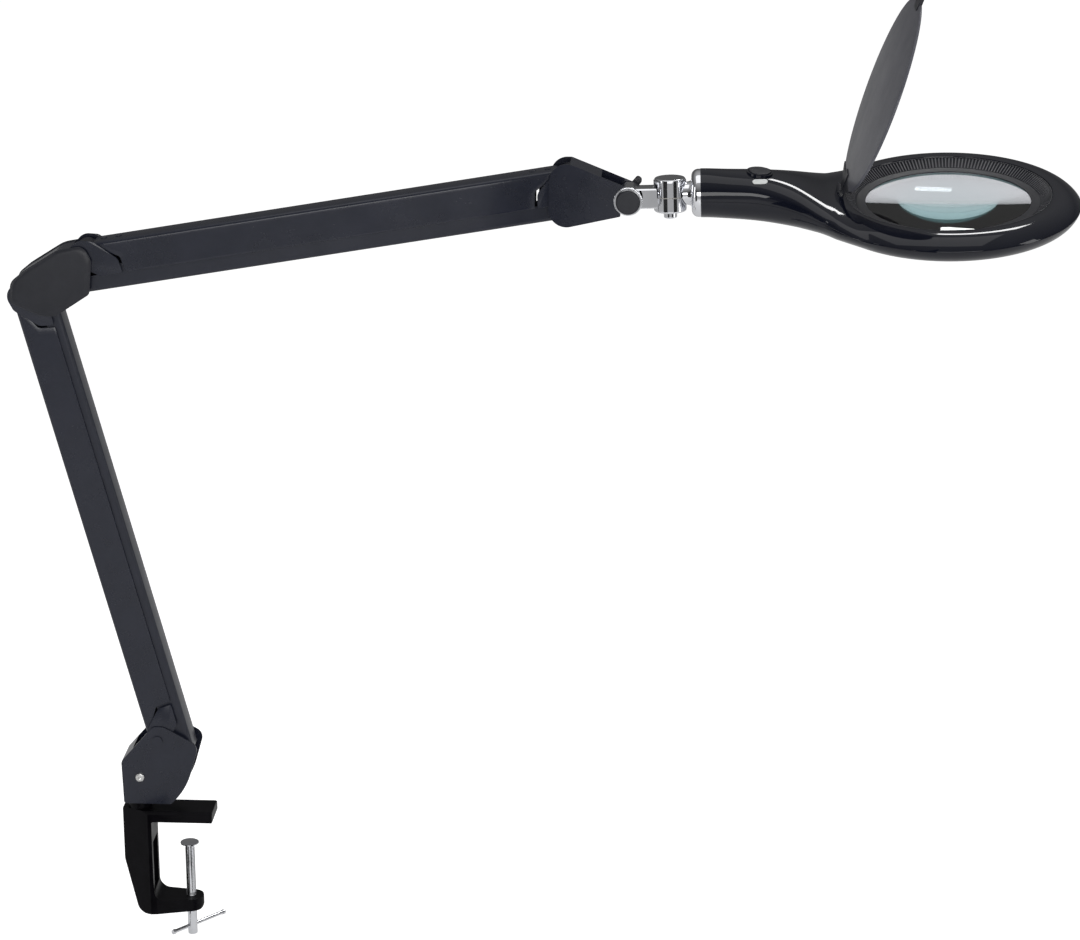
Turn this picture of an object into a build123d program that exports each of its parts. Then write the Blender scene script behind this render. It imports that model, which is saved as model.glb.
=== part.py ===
from build123d import *
from math import atan2, cos, degrees, hypot, pi, radians, sin, sqrt
import os

# Magnifier lamp on a table clamp. Millimetres. +Z is up, +X points out of the clamp's mouth and
# along the raised arm, +Y points away from the viewer. The origin is on the clamp screw's axis,
# on the underside of the upper jaw, which rests on the table.

# Clearances
RUN = 0.05
SIDE_GAP = 0.3

# Clamp
JAW_HALF_WIDTH = 15.0
JAW_THICKNESS = 9.0
JAW_TIP_X = 22.0
THROAT_DEPTH = 29.0
THROAT_HEIGHT = 72.0
WEB_DEPTH = 25.4
KEEL_HALF_WIDTH = 4.0
FLANGE_FACE = 3.0
LOWER_JAW_THICKNESS = 11.8
LOWER_JAW_END_R = 10.5
THROAT_FILLET = 9.0
JAW_BEVEL = 2.4
CAVITY_WALL = 4.5
CAVITY_TOP = -20.0
CAVITY_SILL = 8.0
CAVITY_DEPTH = 14.0
BOSS_R = 9.9
BOSS_HEIGHT = 5.4
SWIVEL_X = -40.0
SPIGOT_R = 5.0
SPIGOT_LENGTH = 28.0
BUSH_WALL = 1.6
BUSH_FLANGE_R = 9.0
BUSH_FLANGE = 1.8

# Clamp screw
SCREW_R = 4.0
THREAD_DEPTH = 0.35
THREAD_PITCH = 1.25
SCREW_PLAIN = 22.0
SCREW_SOCKET = 1.4
PLATE_R = 7.7
PLATE_THICKNESS = 2.6
PLATE_TOP = -23.8
SCREW_END = -107.0
BAR_R = 1.6
BAR_LENGTH = 56.0
BAR_Z = -99.7
BAR_ANGLE = 48.6
BAR_SHIFT = 6.6
BAR_HEAD_R = 2.1
BAR_HEAD_LENGTH = 2.4

# Arms
ARM_LENGTH = 387.0
ARM_WIDTH = 25.0
CHANNEL_WALL = 1.2
BEND_R = 3.0
BACK_OFFSET = 7.5
OUTER_DEPTH = 27.0
INNER_DEPTH = 19.5
INNER_END_DEPTH = 13.0
INNER_END_LENGTH = 34.0
CHANNEL_GAP = 0.3
BACK_START = 9.0
LOWER_LEAN = 14.2
UPPER_RISE = 9.6
HUB_R = 8.5
STRAP_HUB_R = 10.6
STRAP_THICKNESS = 1.2
STRAP_REACH = 28.0
PIN_R = 2.5
PIN_HEAD_R = 4.4
PIN_HEAD = 1.2
STUB_R = 2.2
STUB_COLLAR_R = 3.1
SLOT_GAP = 0.5
PIN_SWEEP = (185.0, 300.0)
SPRING_R = 4.0
SPRING_WIRE = 1.2
SPRING_Y = 4.7
SPRING_ANCHOR = (150.0, 3.4)
SPRING_PIN_R = 1.3
SPRING_LENGTH = 92.0
SPRING_SHIFT = 14.0
RIB_DEPTH = 0.45
EYE_PLAY = 0.25
YOKE_TONGUE = 34.0
RIVET_STEPS = (16.0, 28.0)
RIVET_GRIP = 3.0
RIVET_R = 1.5
RIVET_HEAD_R = 2.6
RIVET_HEAD = 0.7

# Brackets
CHEEK = 1.5
CHEEK_GAP = 0.3
COVER = 1.6
BASE_FLOOR_Z = 17.0
BASE_PIVOT = (-21.0, 73.0)
BASE_REAR = 30.7
LOWER_INNER = (20.3, -3.5)
ELBOW_STEP = (51.4, 35.2)
UPPER_INNER = (-4.0, -25.2)
BASE_SCREW = (-36.5, 40.6)
BASE_SCREW_R = 2.0
BASE_SCREW_HEAD_R = 3.8
INLET_Z = 27.0
INLET_R = 4.0
INLET_BORE_R = 2.8
INLET_FLANGE_R = 5.2
INLET_FLANGE = 0.9
GROOVE_DEPTH = 3.8

# Tilt joint and swivel
TILT_BOLT = (45.6, -17.0)
HEAD_PITCH = 1.9
BOLT_R = 3.0
LUG_R = 9.6
LINK_HALF_WIDTH = 12.4
LINK_WAIST = 8.6
LINK_HEIGHT = 15.6
WASHER_R = 11.2
WASHER_THICKNESS = 1.6
CAP_R = 9.5
CAP_THICKNESS = 4.2
BARREL_REACH = 32.3
BARREL_R = 12.7
BARREL_HEIGHT = 24.6
BARREL_RISE = 0.75
BARREL_WASHER = 0.8
SWIVEL_PIN_R = 4.0
BARREL_BOSS_R = 5.2
BARREL_BOSS = 5.4
BARREL_CAP = 1.8
NECK_R = 10.0
NECK_FLARE_R = 10.9
NECK_WAIST_R = 8.9
SPIGOT_NECK_R = 6.0
LEVER_LENGTH = 14.0
LEVER_ANGLE = 52.0

# Head, in its own frame: origin on the handle's axis at the collar, +X towards the lens
COLLAR_REACH = 16.6
HEAD_ROLL = 8.5
HANDLE_RISE = 2.2
COLLAR_LENGTH = 7.2
COLLAR_ROUND = 5.5
HANDLE_R = 19.0
LENS_REACH = 198.0
LENS_DROP = 10.8
SHELL_WALL = 2.2
RING_R = 102.0
RECESS_R = 80.0
RIM_RISE = 7.0
NOSE_DROP = 2.0
SEAM_DROP = 0.4
RING_DEPTH = 14.5
SKIRT_R = 68.2
SKIRT_WALL = 2.0
LENS_R = 66.5
LENS_CLEAR_R = 63.5
LENS_EDGE = 3.0
LENS_TOP = -1.5
LENS_CURVE_R = 347.0
LIP_RISE = 0.9
BOARD_R = (70.6, 86.0)
BOARD_Z = -9.0
BOARD_THICKNESS = 1.6
CHIP_COUNT = 24
WINDOW_R = (72.0, 87.0)
DIFFUSER_THICKNESS = 2.0
LID_R = 78.3
LID_THICKNESS = 1.9
LID_DOME = 2.2
LID_OPEN = 69.0
LID_HINGE_R = 83.0
LID_HINGE_RISE = 10.4
LID_PIN_R = 1.5
LID_LUG_HALF_WIDTH = 7.0
LID_LUG = 2.8
LID_LUG_R = 3.2
LID_KNUCKLE_R = 2.9
LID_ARM_LENGTH = 16.0
LID_TAB = (15.0, 17.0)
CONE_TOP = 4.6
CONE_LOW = -2.0
LEDGE_Z = -5.0
LEDGE_LAP = 1.0
LEDGE_HEIGHT = 1.8
SHELL_SCREW_R = 91.5
SHELL_SCREW_ANGLES = (20.0, 90.0, 145.0, 215.0, 270.0, 340.0)
SHELL_SCREW = 1.5
SHELL_SCREW_HEAD_R = 2.6
SHELL_SCREW_HEAD = 2.0
SHELL_SCREW_SUNK = 4.6
SHELL_SCREW_GRIP = 4.5
BOSS_POST_R = 3.4
TWIST_BOSS = 9.6
TWIST_BOSS_R = 10.0
BUTTON_X = 53.0
BUTTON_Z = 15.8
BUTTON_TILT = 6.5
BUTTON_R = 8.6
BUTTON_BEZEL_R = 10.3
STEM_R = 3.0
INDICATOR = (11.6, 5.0)
INDICATOR_Y = 13.8
INDICATOR_Z = 13.3
INDICATOR_TILT = 23.0
DRIVER_Z = -7.0
BOARD_POST_X = (38.0, 76.0)
BOARD_POST_R = 3.0
CHIP = (3.5, 2.8, 0.8)


def plate(corners, y_low, y_high):
    """Flat plate in the arms' upright plane; each corner is (x, z, rounding)."""
    points = [(x, z) for x, z, rounding in corners]
    radii = [rounding for x, z, rounding in corners]
    edge = FilletPolyline(*points, radius=radii, close=True)
    return extrude(Plane.XZ.offset(-y_high) * make_face(edge), y_high - y_low)


def rod_y(x, z, radius, y_low, y_high):
    """Round bar along Y."""
    return extrude(Plane.XZ.offset(-y_high) * Pos(x, z) * Circle(radius), y_high - y_low)


def rod_z(x, y, radius, z_low, z_high):
    """Round bar along Z."""
    return extrude(Pos(x, y, z_low) * Circle(radius), z_high - z_low)


def rod_x(x_low, x_high, radius, z=0.0):
    """Round bar along X."""
    return extrude(Plane.YZ.offset(x_low) * Pos(0, z) * Circle(radius), x_high - x_low)


def block(x_low, x_high, y_low, y_high, z_low, z_high):
    """Box given by its limits."""
    size = Box(x_high - x_low, y_high - y_low, z_high - z_low)
    return Pos((x_low + x_high) / 2, (y_low + y_high) / 2, (z_low + z_high) / 2) * size


def both_sides(solid):
    """The solid and its mirror image across the arms' plane, as one group."""
    return [solid, mirror(solid, about=Plane.XZ)]


def turned(points):
    """Ring made by turning a closed (radius, z) outline about Z."""
    face = make_face(Plane.XZ * Polyline(*points, close=True))
    return revolve(face, Axis.Z)


def save(name, *solids):
    """Writes one node; loose solids stay separate inside it."""
    pieces = []
    for solid in solids:
        for part in solid if isinstance(solid, (list, tuple)) else [solid]:
            pieces += list(part.solids())
    export_step(Compound(children=[Solid(piece.wrapped) for piece in pieces]), f"parts/{name}.step")


def vector_at(angle, length):
    """Point at a distance and an angle from +X, in the arms' plane."""
    return length * cos(radians(angle)), length * sin(radians(angle))


# Pivot places in the arms' plane
LOWER_ANGLE = 90.0 + LOWER_LEAN
lower_run = vector_at(LOWER_ANGLE, ARM_LENGTH)
upper_run = vector_at(UPPER_RISE, ARM_LENGTH)
base_outer = BASE_PIVOT
base_inner = (BASE_PIVOT[0] + LOWER_INNER[0], BASE_PIVOT[1] + LOWER_INNER[1])
elbow_lower = (base_outer[0] + lower_run[0], base_outer[1] + lower_run[1])
elbow_lower_inner = (elbow_lower[0] + LOWER_INNER[0], elbow_lower[1] + LOWER_INNER[1])
elbow_upper = (elbow_lower[0] + ELBOW_STEP[0], elbow_lower[1] + ELBOW_STEP[1])
elbow_upper_inner = (elbow_upper[0] + UPPER_INNER[0], elbow_upper[1] + UPPER_INNER[1])
wrist_outer = (elbow_upper[0] + upper_run[0], elbow_upper[1] + upper_run[1])
wrist_inner = (wrist_outer[0] + UPPER_INNER[0], wrist_outer[1] + UPPER_INNER[1])
tilt_axis = (wrist_outer[0] + TILT_BOLT[0], wrist_outer[1] + TILT_BOLT[1])

# Half widths across the arms
OUTER_HALF = ARM_WIDTH / 2
INNER_HALF = OUTER_HALF - CHANNEL_WALL - CHANNEL_GAP
INNER_CLEAR = INNER_HALF - CHANNEL_WALL
STRAP_FACE = OUTER_HALF + STRAP_THICKNESS
CHEEK_IN = STRAP_FACE + CHEEK_GAP
CHEEK_OUT = CHEEK_IN + CHEEK


def arm_frame(pivot, angle):
    """Local frame of an arm: x along it from its first pivot, z out of the outer channel's back."""
    along = Vector(cos(radians(angle)), 0, sin(radians(angle)))
    back = Vector(-sin(radians(angle)), 0, cos(radians(angle)))
    return Plane(origin=(pivot[0], 0, pivot[1]), x_dir=along, z_dir=back)


def in_arm(offset, angle):
    """An offset in the arms' plane, written in an arm's local x and z."""
    c, s = cos(radians(angle)), sin(radians(angle))
    return offset[0] * c + offset[1] * s, -offset[0] * s + offset[1] * c


def channel(x_low, x_high, half_width, back_z, depth, opens):
    """Folded channel: a back at back_z and two flanges; opens is -1 for flanges towards -z."""
    outer_edge = back_z + opens * depth
    inner_back = back_z + opens * CHANNEL_WALL
    low, high = min(back_z, outer_edge), max(back_z, outer_edge)
    body = block(x_low, x_high, -half_width, half_width, low, high)
    corners = body.edges().filter_by(Axis.X).filter_by(lambda e: abs(e.center().Z - back_z) < 0.01)
    body = fillet(corners, BEND_R)
    inside_low, inside_high = min(inner_back, outer_edge), max(inner_back, outer_edge)
    clear = half_width - CHANNEL_WALL
    beyond = 1.0
    hollow = block(x_low - beyond, x_high + beyond, -clear, clear,
                   inside_low - (beyond if opens < 0 else 0), inside_high + (beyond if opens > 0 else 0))
    inner_corners = hollow.edges().filter_by(Axis.X)
    inner_corners = inner_corners.filter_by(lambda e: abs(e.center().Z - inner_back) < 0.01)
    hollow = fillet(inner_corners, BEND_R - CHANNEL_WALL)
    return body - hollow


def outer_channel():
    """Outer channel in the arm's frame, with flanges cut back on a slant at both ends."""
    body = channel(BACK_START, ARM_LENGTH - BACK_START, OUTER_HALF, BACK_OFFSET, OUTER_DEPTH, -1)
    flange_edge = BACK_OFFSET - OUTER_DEPTH
    tip = BACK_OFFSET + 1.0
    cut = [(-5.0, tip, 0), (BACK_START, tip, 0), (BACK_START, BACK_OFFSET - 3.5, 0),
           (STRAP_REACH, -6.4, 2.0), (STRAP_REACH + 2.5, flange_edge - 1.0, 0), (-5.0, flange_edge - 1.0, 0)]
    near_end = plate(cut, -ARM_WIDTH, ARM_WIDTH)
    far_cut = [(ARM_LENGTH - x, z, rounding) for x, z, rounding in cut]
    far_end = plate(far_cut, -ARM_WIDTH, ARM_WIDTH)
    return body - near_end - far_end


def inner_channel(start):
    """Inner channel in the arm's frame, nested in the outer one and open towards its back."""
    x0, z0 = start
    back = z0 - BACK_OFFSET
    low, high = x0 - BACK_OFFSET, x0 + ARM_LENGTH + BACK_OFFSET
    body = channel(low, high, INNER_HALF, back, INNER_DEPTH, 1)
    for end, toward in ((low, 1), (high, -1)):
        trim = [(end - toward * 1.0, back + INNER_END_DEPTH, 0),
                (end + toward * INNER_END_LENGTH, back + INNER_END_DEPTH, 8.0),
                (end + toward * (INNER_END_LENGTH + INNER_DEPTH - INNER_END_DEPTH), back + INNER_DEPTH + 1.0, 0),
                (end - toward * 1.0, back + INNER_DEPTH + 1.0, 0)]
        body -= plate(trim, -ARM_WIDTH, ARM_WIDTH)
        corner = [(end - toward * 1.0, back + INNER_END_DEPTH + 1.0, 0),
                  (end + toward * 5.0, back + INNER_END_DEPTH + 1.0, 0),
                  (end - toward * 1.0, back + INNER_END_DEPTH - 5.0, 0)]
        body -= plate(corner, -ARM_WIDTH, ARM_WIDTH)
        body -= rod_y(end + toward * BACK_OFFSET, z0, STUB_R + RUN, -ARM_WIDTH, ARM_WIDTH)
    return body


def yoke(x0, toward):
    """Hub block riveted under the outer channel's back, inside the inner channel."""
    half = INNER_CLEAR - SIDE_GAP
    under = BACK_OFFSET - CHANNEL_WALL
    neck = [(x0, HUB_R - 4.0, 0), (x0 + toward * (BACK_START + 2.0), under, 0),
            (x0 + toward * YOKE_TONGUE, under, 0), (x0 + toward * YOKE_TONGUE, under - RIVET_GRIP, 0),
            (x0 + toward * 12.0, -3.0, 3.0), (x0, -HUB_R + 4.0, 0)]
    if toward < 0:
        neck.reverse()
    body = plate(neck, -half, half) + rod_y(x0, 0, HUB_R, -half, half)
    return body - rod_y(x0, 0, PIN_R + RUN, -ARM_WIDTH, ARM_WIDTH)


def sweep_slot(pivot, radius, low, high, half_width):
    """Path that a stub pin sweeps past a plate: an arc-shaped slot about a pivot."""
    middle = (low + high) / 2
    ends = [(pivot[0] + radius * cos(radians(a)), pivot[1] + radius * sin(radians(a))) for a in (low, middle, high)]
    arc = ThreePointArc(*ends)
    face = make_face(offset(arc, half_width, side=Side.BOTH))
    return extrude(Plane.XZ.offset(-ARM_WIDTH) * face, 2 * ARM_WIDTH)


def strap_pair(x0, toward, hub, slot):
    """The two outer straps of an arm's end, with rounded hubs and the slot for the inner pin."""
    edge = BACK_OFFSET - OUTER_DEPTH
    shape = [(x0 + toward * 4.0, hub * 0.82, 6.0), (x0 + toward * (STRAP_REACH - 3.0), -6.4, 5.0),
             (x0 + toward * STRAP_REACH, edge, 1.0), (x0 + toward * 12.0, edge, 3.0),
             (x0 + toward * 2.0, -hub * 0.8, 0)]
    if toward < 0:
        shape.reverse()
    solid = plate(shape, -STRAP_FACE, -OUTER_HALF) + rod_y(x0, 0, hub, -STRAP_FACE, -OUTER_HALF)
    solid -= rod_y(x0, 0, PIN_R + RUN, -ARM_WIDTH, ARM_WIDTH)
    solid -= slot
    return both_sides(solid.solids().sort_by(SortBy.VOLUME)[-1])


def pivot_pin(x, z, radius, half_length):
    """Headed pin along Y through a bracket's cheeks."""
    body = rod_y(x, z, radius, -half_length, half_length)
    for y in (-half_length, half_length - PIN_HEAD):
        body += rod_y(x, z, PIN_HEAD_R, y, y + PIN_HEAD)
    return body


def collared_pin(x, z, outside):
    """Pin of an inner channel, with collars that keep it central between the cheeks."""
    body = rod_y(x, z, STUB_R, -outside, outside)
    collar = rod_y(x, z, STUB_COLLAR_R, -(CHEEK_IN - 0.02), -(INNER_HALF + RUN))
    for solid in both_sides(collar):
        body += solid
    return body


def spring(anchor, anchor_r, hook, hook_r):
    """Pair of tension springs between two pins, each a ribbed sleeve with a core and hook eyes."""
    dx, dz = hook[0] - anchor[0], hook[1] - anchor[1]
    span = hypot(dx, dz)
    wire = SPRING_WIRE / 2
    root = SPRING_R - SPRING_WIRE
    coil_start = (span - SPRING_LENGTH) / 2 - SPRING_SHIFT
    coil_end = coil_start + SPRING_LENGTH
    ribs = int(SPRING_LENGTH / (2 * SPRING_WIRE))
    pitch = SPRING_LENGTH / ribs
    points = [(0, coil_start), (root, coil_start)]
    for i in range(ribs):
        points.append((SPRING_R, coil_start + (i + 0.3) * pitch))
        points.append((SPRING_R, coil_start + (i + 0.7) * pitch))
        points.append((SPRING_R - RIB_DEPTH, coil_start + (i + 1.0) * pitch))
    points += [(root, coil_end), (0, coil_end)]
    body = turned(points)
    for z, pin_r, start, end in ((0.0, anchor_r, anchor_r + wire, coil_start + wire),
                                 (span, hook_r, coil_end - wire, span - hook_r - wire)):
        body += rod_z(0, 0, wire, start, end)
        body += Pos(0, 0, z) * Rot(90, 0, 0) * Torus(pin_r + EYE_PLAY + wire, wire)
    place = Pos(anchor[0], 0, anchor[1]) * Rot(0, 90 - degrees(atan2(dz, dx)), 0)
    return [Pos(0, y, 0) * (place * body) for y in (-SPRING_Y, SPRING_Y)]


def headed_rivet(x, z, z_low, y):
    """Small rivet through a channel's back into a hub block."""
    body = rod_z(x, y, RIVET_R, z_low, z)
    return body + rod_z(x, y, RIVET_HEAD_R, z, z + RIVET_HEAD)


def arm(name, pivot, angle, inner_offset, elbow_end):
    """Makes every node of one double-channel arm."""
    frame = arm_frame(pivot, angle)
    start = in_arm(inner_offset, angle)
    reach = hypot(*start)
    outer = outer_channel()
    straps = []
    for end, x0, toward in ((0, 0.0, 1), (1, ARM_LENGTH, -1)):
        slot = sweep_slot((x0, 0), reach, *PIN_SWEEP, STUB_COLLAR_R + SLOT_GAP)
        straps += strap_pair(x0, toward, STRAP_HUB_R if end == elbow_end else HUB_R, slot)
    yokes = [yoke(0.0, 1), yoke(ARM_LENGTH, -1)]
    inner = inner_channel(start)

    rivets = []
    rivet_low = BACK_OFFSET - CHANNEL_WALL - RIVET_GRIP
    for end, x0, toward in ((0, 0.0, 1), (1, ARM_LENGTH, -1)):
        for step in RIVET_STEPS:
            x = x0 + toward * step
            hole = rod_z(x, 0, RIVET_R, -ARM_WIDTH, ARM_WIDTH)
            outer -= hole
            yokes[end] -= hole
            rivets.append(headed_rivet(x, BACK_OFFSET, rivet_low, 0))
    outer -= rod_y(*SPRING_ANCHOR, SPRING_PIN_R, -ARM_WIDTH, ARM_WIDTH)
    anchor_pin = rod_y(*SPRING_ANCHOR, SPRING_PIN_R, -OUTER_HALF, OUTER_HALF)
    springs = spring(SPRING_ANCHOR, SPRING_PIN_R, start, STUB_R)

    save(f"{name}_outer_channel", frame.location * outer)
    save(f"{name}_inner_channel", frame.location * inner)
    save(f"{name}_yokes", [frame.location * s for s in yokes])
    save(f"{name}_straps", [frame.location * s for s in straps])
    save(f"{name}_rivets", [frame.location * s for s in rivets + [anchor_pin]])
    save(f"{name}_springs", [frame.location * s for s in springs])


def clamp_frame():
    """Cast C-frame: upper jaw with the swivel socket, hollow web, tapered lower jaw."""
    front = -THROAT_DEPTH
    rear = front - WEB_DEPTH
    low = -THROAT_HEIGHT - LOWER_JAW_THICKNESS
    side = [(JAW_TIP_X, 0, 0.8), (JAW_TIP_X, JAW_THICKNESS, 1.5), (rear, JAW_THICKNESS, 1.5), (rear, -38.0, 14.0),
            (rear + 12.0, low - 1.0, 9.0), (LOWER_JAW_END_R, low + 1.5, 3.0),
            (LOWER_JAW_END_R, -THROAT_HEIGHT, 2.0), (front, -THROAT_HEIGHT, THROAT_FILLET), (front, 0, 1.5)]
    body = plate(side, -JAW_HALF_WIDTH, JAW_HALF_WIDTH)
    bevel_x = front - FLANGE_FACE
    above, below = JAW_THICKNESS + 5.0, low - 5.0
    for sign in (-1, 1):
        wedge = Polyline((bevel_x, sign * (JAW_HALF_WIDTH + 0.01)), (rear - 2.0, sign * (JAW_HALF_WIDTH + 0.01)),
                         (rear - 2.0, sign * KEEL_HALF_WIDTH), (rear, sign * KEEL_HALF_WIDTH), close=True)
        body -= extrude(Pos(0, 0, below) * make_face(wedge), above - below)
        taper = Polyline((front + 2.0, sign * (JAW_HALF_WIDTH + 0.01)), (20.0, sign * (JAW_HALF_WIDTH + 0.01)),
                         (20.0, sign * LOWER_JAW_END_R), (0, sign * LOWER_JAW_END_R), close=True)
        body -= extrude(Pos(0, 0, below) * make_face(taper), -THROAT_HEIGHT / 2 - below)
    tip = block(0, 20.0, -20.0, 20.0, below, -THROAT_HEIGHT / 2) - rod_z(0, 0, LOWER_JAW_END_R, below, 0)
    body -= tip
    for sign in (-1, 1):
        corner = Polyline((sign * (JAW_HALF_WIDTH - JAW_BEVEL), JAW_THICKNESS),
                          (sign * (JAW_HALF_WIDTH + 1.0), JAW_THICKNESS + 1.0),
                          (sign * JAW_HALF_WIDTH, JAW_THICKNESS - JAW_BEVEL), close=True)
        body -= extrude(Plane.YZ.offset(-60.0) * make_face(corner), 100.0)
    slope = (JAW_HALF_WIDTH - KEEL_HALF_WIDTH) / (WEB_DEPTH - FLANGE_FACE)
    wide = JAW_HALF_WIDTH - CAVITY_WALL
    narrow = wide - slope * (CAVITY_DEPTH - FLANGE_FACE)
    pocket = Polyline((front + 1.0, -wide), (bevel_x, -wide), (front - CAVITY_DEPTH, -narrow),
                      (front - CAVITY_DEPTH, narrow), (bevel_x, wide), (front + 1.0, wide), close=True)
    pocket_low = -THROAT_HEIGHT + CAVITY_SILL
    body -= extrude(Pos(0, 0, pocket_low) * make_face(pocket), CAVITY_TOP - pocket_low)
    boss_top = JAW_THICKNESS + BOSS_HEIGHT
    body += rod_z(SWIVEL_X, 0, BOSS_R, JAW_THICKNESS - 1.0, boss_top)
    body -= rod_z(SWIVEL_X, 0, SPIGOT_R + BUSH_WALL + RUN, boss_top - SPIGOT_LENGTH - 1.0, boss_top + 1.0)
    body -= rod_z(0, 0, SCREW_R + RUN, below, -THROAT_HEIGHT + 1.0)
    return body


def clamp():
    """The clamp's own nodes."""
    save("clamp_frame", clamp_frame())
    boss_top = JAW_THICKNESS + BOSS_HEIGHT
    bush = rod_z(SWIVEL_X, 0, SPIGOT_R + BUSH_WALL, boss_top - SPIGOT_LENGTH, boss_top)
    bush += rod_z(SWIVEL_X, 0, BUSH_FLANGE_R, boss_top, boss_top + BUSH_FLANGE)
    save("swivel_bush", bush - rod_z(SWIVEL_X, 0, SPIGOT_R + RUN, -50.0, 50.0))

    low = PLATE_TOP - PLATE_THICKNESS
    tip_r = SCREW_R - 1.0
    disc = turned([(0, PLATE_TOP), (PLATE_R, PLATE_TOP), (PLATE_R, PLATE_TOP - 0.8), (SCREW_R + 1.0, low), (0, low)])
    save("pressure_plate", disc - rod_z(0, 0, tip_r + RUN, low - 1.0, low + SCREW_SOCKET + RUN))

    core, thread_low = SCREW_R - THREAD_DEPTH, SCREW_END + SCREW_PLAIN
    screw = rod_z(0, 0, tip_r, low - 1.0, low + SCREW_SOCKET)
    screw += rod_z(0, 0, core, thread_low, low - RUN)
    screw += rod_z(0, 0, SCREW_R, SCREW_END, thread_low)
    root = core - 0.1
    for i in range(int((low - 2.0 - thread_low) / THREAD_PITCH)):
        z = thread_low + (i + 0.4) * THREAD_PITCH
        screw += turned([(root, z), (SCREW_R, z + 0.3 * THREAD_PITCH), (SCREW_R, z + 0.4 * THREAD_PITCH),
                         (root, z + 0.7 * THREAD_PITCH)])
    direction = Rot(0, 0, BAR_ANGLE)
    hole = Pos(0, 0, BAR_Z) * direction * rod_x(-10.0, 10.0, BAR_R + RUN)
    save("clamp_screw", screw - hole)
    half = BAR_LENGTH / 2
    bar = rod_x(-half, half, BAR_R) + rod_x(-half, -half + BAR_HEAD_LENGTH, BAR_HEAD_R)
    bar += rod_x(half - BAR_HEAD_LENGTH, half, BAR_HEAD_R)
    save("tommy_bar", Pos(0, 0, BAR_Z) * direction * Pos(BAR_SHIFT, 0, 0) * bar)


def base():
    """Folded base bracket with its core, spigot, pins and screws."""
    x0, z0 = BASE_PIVOT
    left, floor = x0 - BASE_REAR, BASE_FLOOR_Z
    cheek = [(left + 1.0, floor, 2.0), (x0 + 9.5, floor, 1.0), (x0 + 22.7, z0 - 42.3, 60.0),
             (x0 + 33.8, z0 - 3.8, 8.0), (x0 + 5.5, z0 + 12.4, 6.0), (x0 - 3.5, z0 + 12.4, 6.0),
             (left, z0 - 18.5, 6.0)]
    body = plate(cheek, -CHEEK_OUT, CHEEK_OUT)
    core_out = [(left + 1.0 + CHEEK, floor + CHEEK, 0.5), (x0 + 60.0, floor + CHEEK, 0), (x0 + 60.0, z0 + 40.0, 0),
                (x0 - 14.0, z0 + 40.0, 0), (x0 - 14.0, z0 + 1.5, 0), (left + CHEEK, z0 - 18.0, 4.0)]
    body -= plate(core_out, -CHEEK_IN, CHEEK_IN)
    body -= rod_z(SWIVEL_X, 0, SPIGOT_R, floor - 5.0, floor + 10.0)
    body -= rod_y(x0, z0, PIN_R, -40.0, 40.0)
    body -= rod_y(*base_inner, STUB_R, -40.0, 40.0)
    body -= rod_y(*BASE_SCREW, BASE_SCREW_R, -40.0, 40.0)
    wall_in = left + 1.0 + CHEEK
    body -= rod_x(left - 5.0, wall_in + 1.0, INLET_R, INLET_Z)
    save("base_bracket", body)

    core_top = z0 - 26.0
    rear = wall_in + 0.2
    core = [(rear, floor + CHEEK, 1.0), (x0 + 4.0, floor + CHEEK, 1.0), (x0 + 4.0, core_top - 14.0, 4.0),
            (left + 14.0, core_top, 3.0), (rear, core_top, 3.0)]
    middle = plate(core, -CHEEK_IN, CHEEK_IN)
    groove = INLET_FLANGE_R + SIDE_GAP
    middle -= block(rear - 1.0, rear + GROOVE_DEPTH, -groove, groove, INLET_Z - groove, core_top + 1.0)
    middle -= rod_z(SWIVEL_X, 0, SPIGOT_R, floor - 5.0, floor + CHEEK + 12.0)
    middle -= rod_y(*BASE_SCREW, BASE_SCREW_R, -40.0, 40.0)
    save("base_core", middle)

    inlet = rod_x(left - INLET_FLANGE, wall_in + INLET_FLANGE, INLET_R, INLET_Z)
    inlet += rod_x(left - INLET_FLANGE, left + 0.2, INLET_FLANGE_R, INLET_Z)
    inlet += rod_x(wall_in, wall_in + INLET_FLANGE, INLET_FLANGE_R, INLET_Z)
    save("cable_inlet", inlet - rod_x(left - 5.0, wall_in + 5.0, INLET_BORE_R, INLET_Z))

    low = JAW_THICKNESS + BOSS_HEIGHT - SPIGOT_LENGTH + 1.0
    spigot = rod_z(SWIVEL_X, 0, SPIGOT_R, low, floor + CHEEK + 12.0)
    save("base_spigot", chamfer(spigot.edges().filter_by(GeomType.CIRCLE).sort_by(Axis.Z)[0], 1.2))

    seat = JAW_THICKNESS + BOSS_HEIGHT + BUSH_FLANGE
    washer = rod_z(SWIVEL_X, 0, BUSH_FLANGE_R + 1.0, seat + RUN, floor) - rod_z(SWIVEL_X, 0, SPIGOT_R + RUN, 0, 30.0)
    save("swivel_washer", washer)

    screw = rod_y(*BASE_SCREW, BASE_SCREW_R, -CHEEK_OUT, -2.0)
    head = rod_y(*BASE_SCREW, BASE_SCREW_HEAD_R, -CHEEK_OUT - 2.0, -CHEEK_OUT)
    head = fillet(head.edges().filter_by(GeomType.CIRCLE).sort_by(Axis.Y)[0], 1.2)
    hexagon = Plane.XZ.offset(CHEEK_OUT + 3.0) * Pos(*BASE_SCREW) * RegularPolygon(1.5, 6)
    save("base_screws", both_sides(screw + head - extrude(hexagon, -2.4)))
    save("base_pins", pivot_pin(x0, z0, PIN_R, CHEEK_OUT + PIN_HEAD), collared_pin(*base_inner, CHEEK_OUT))


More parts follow.
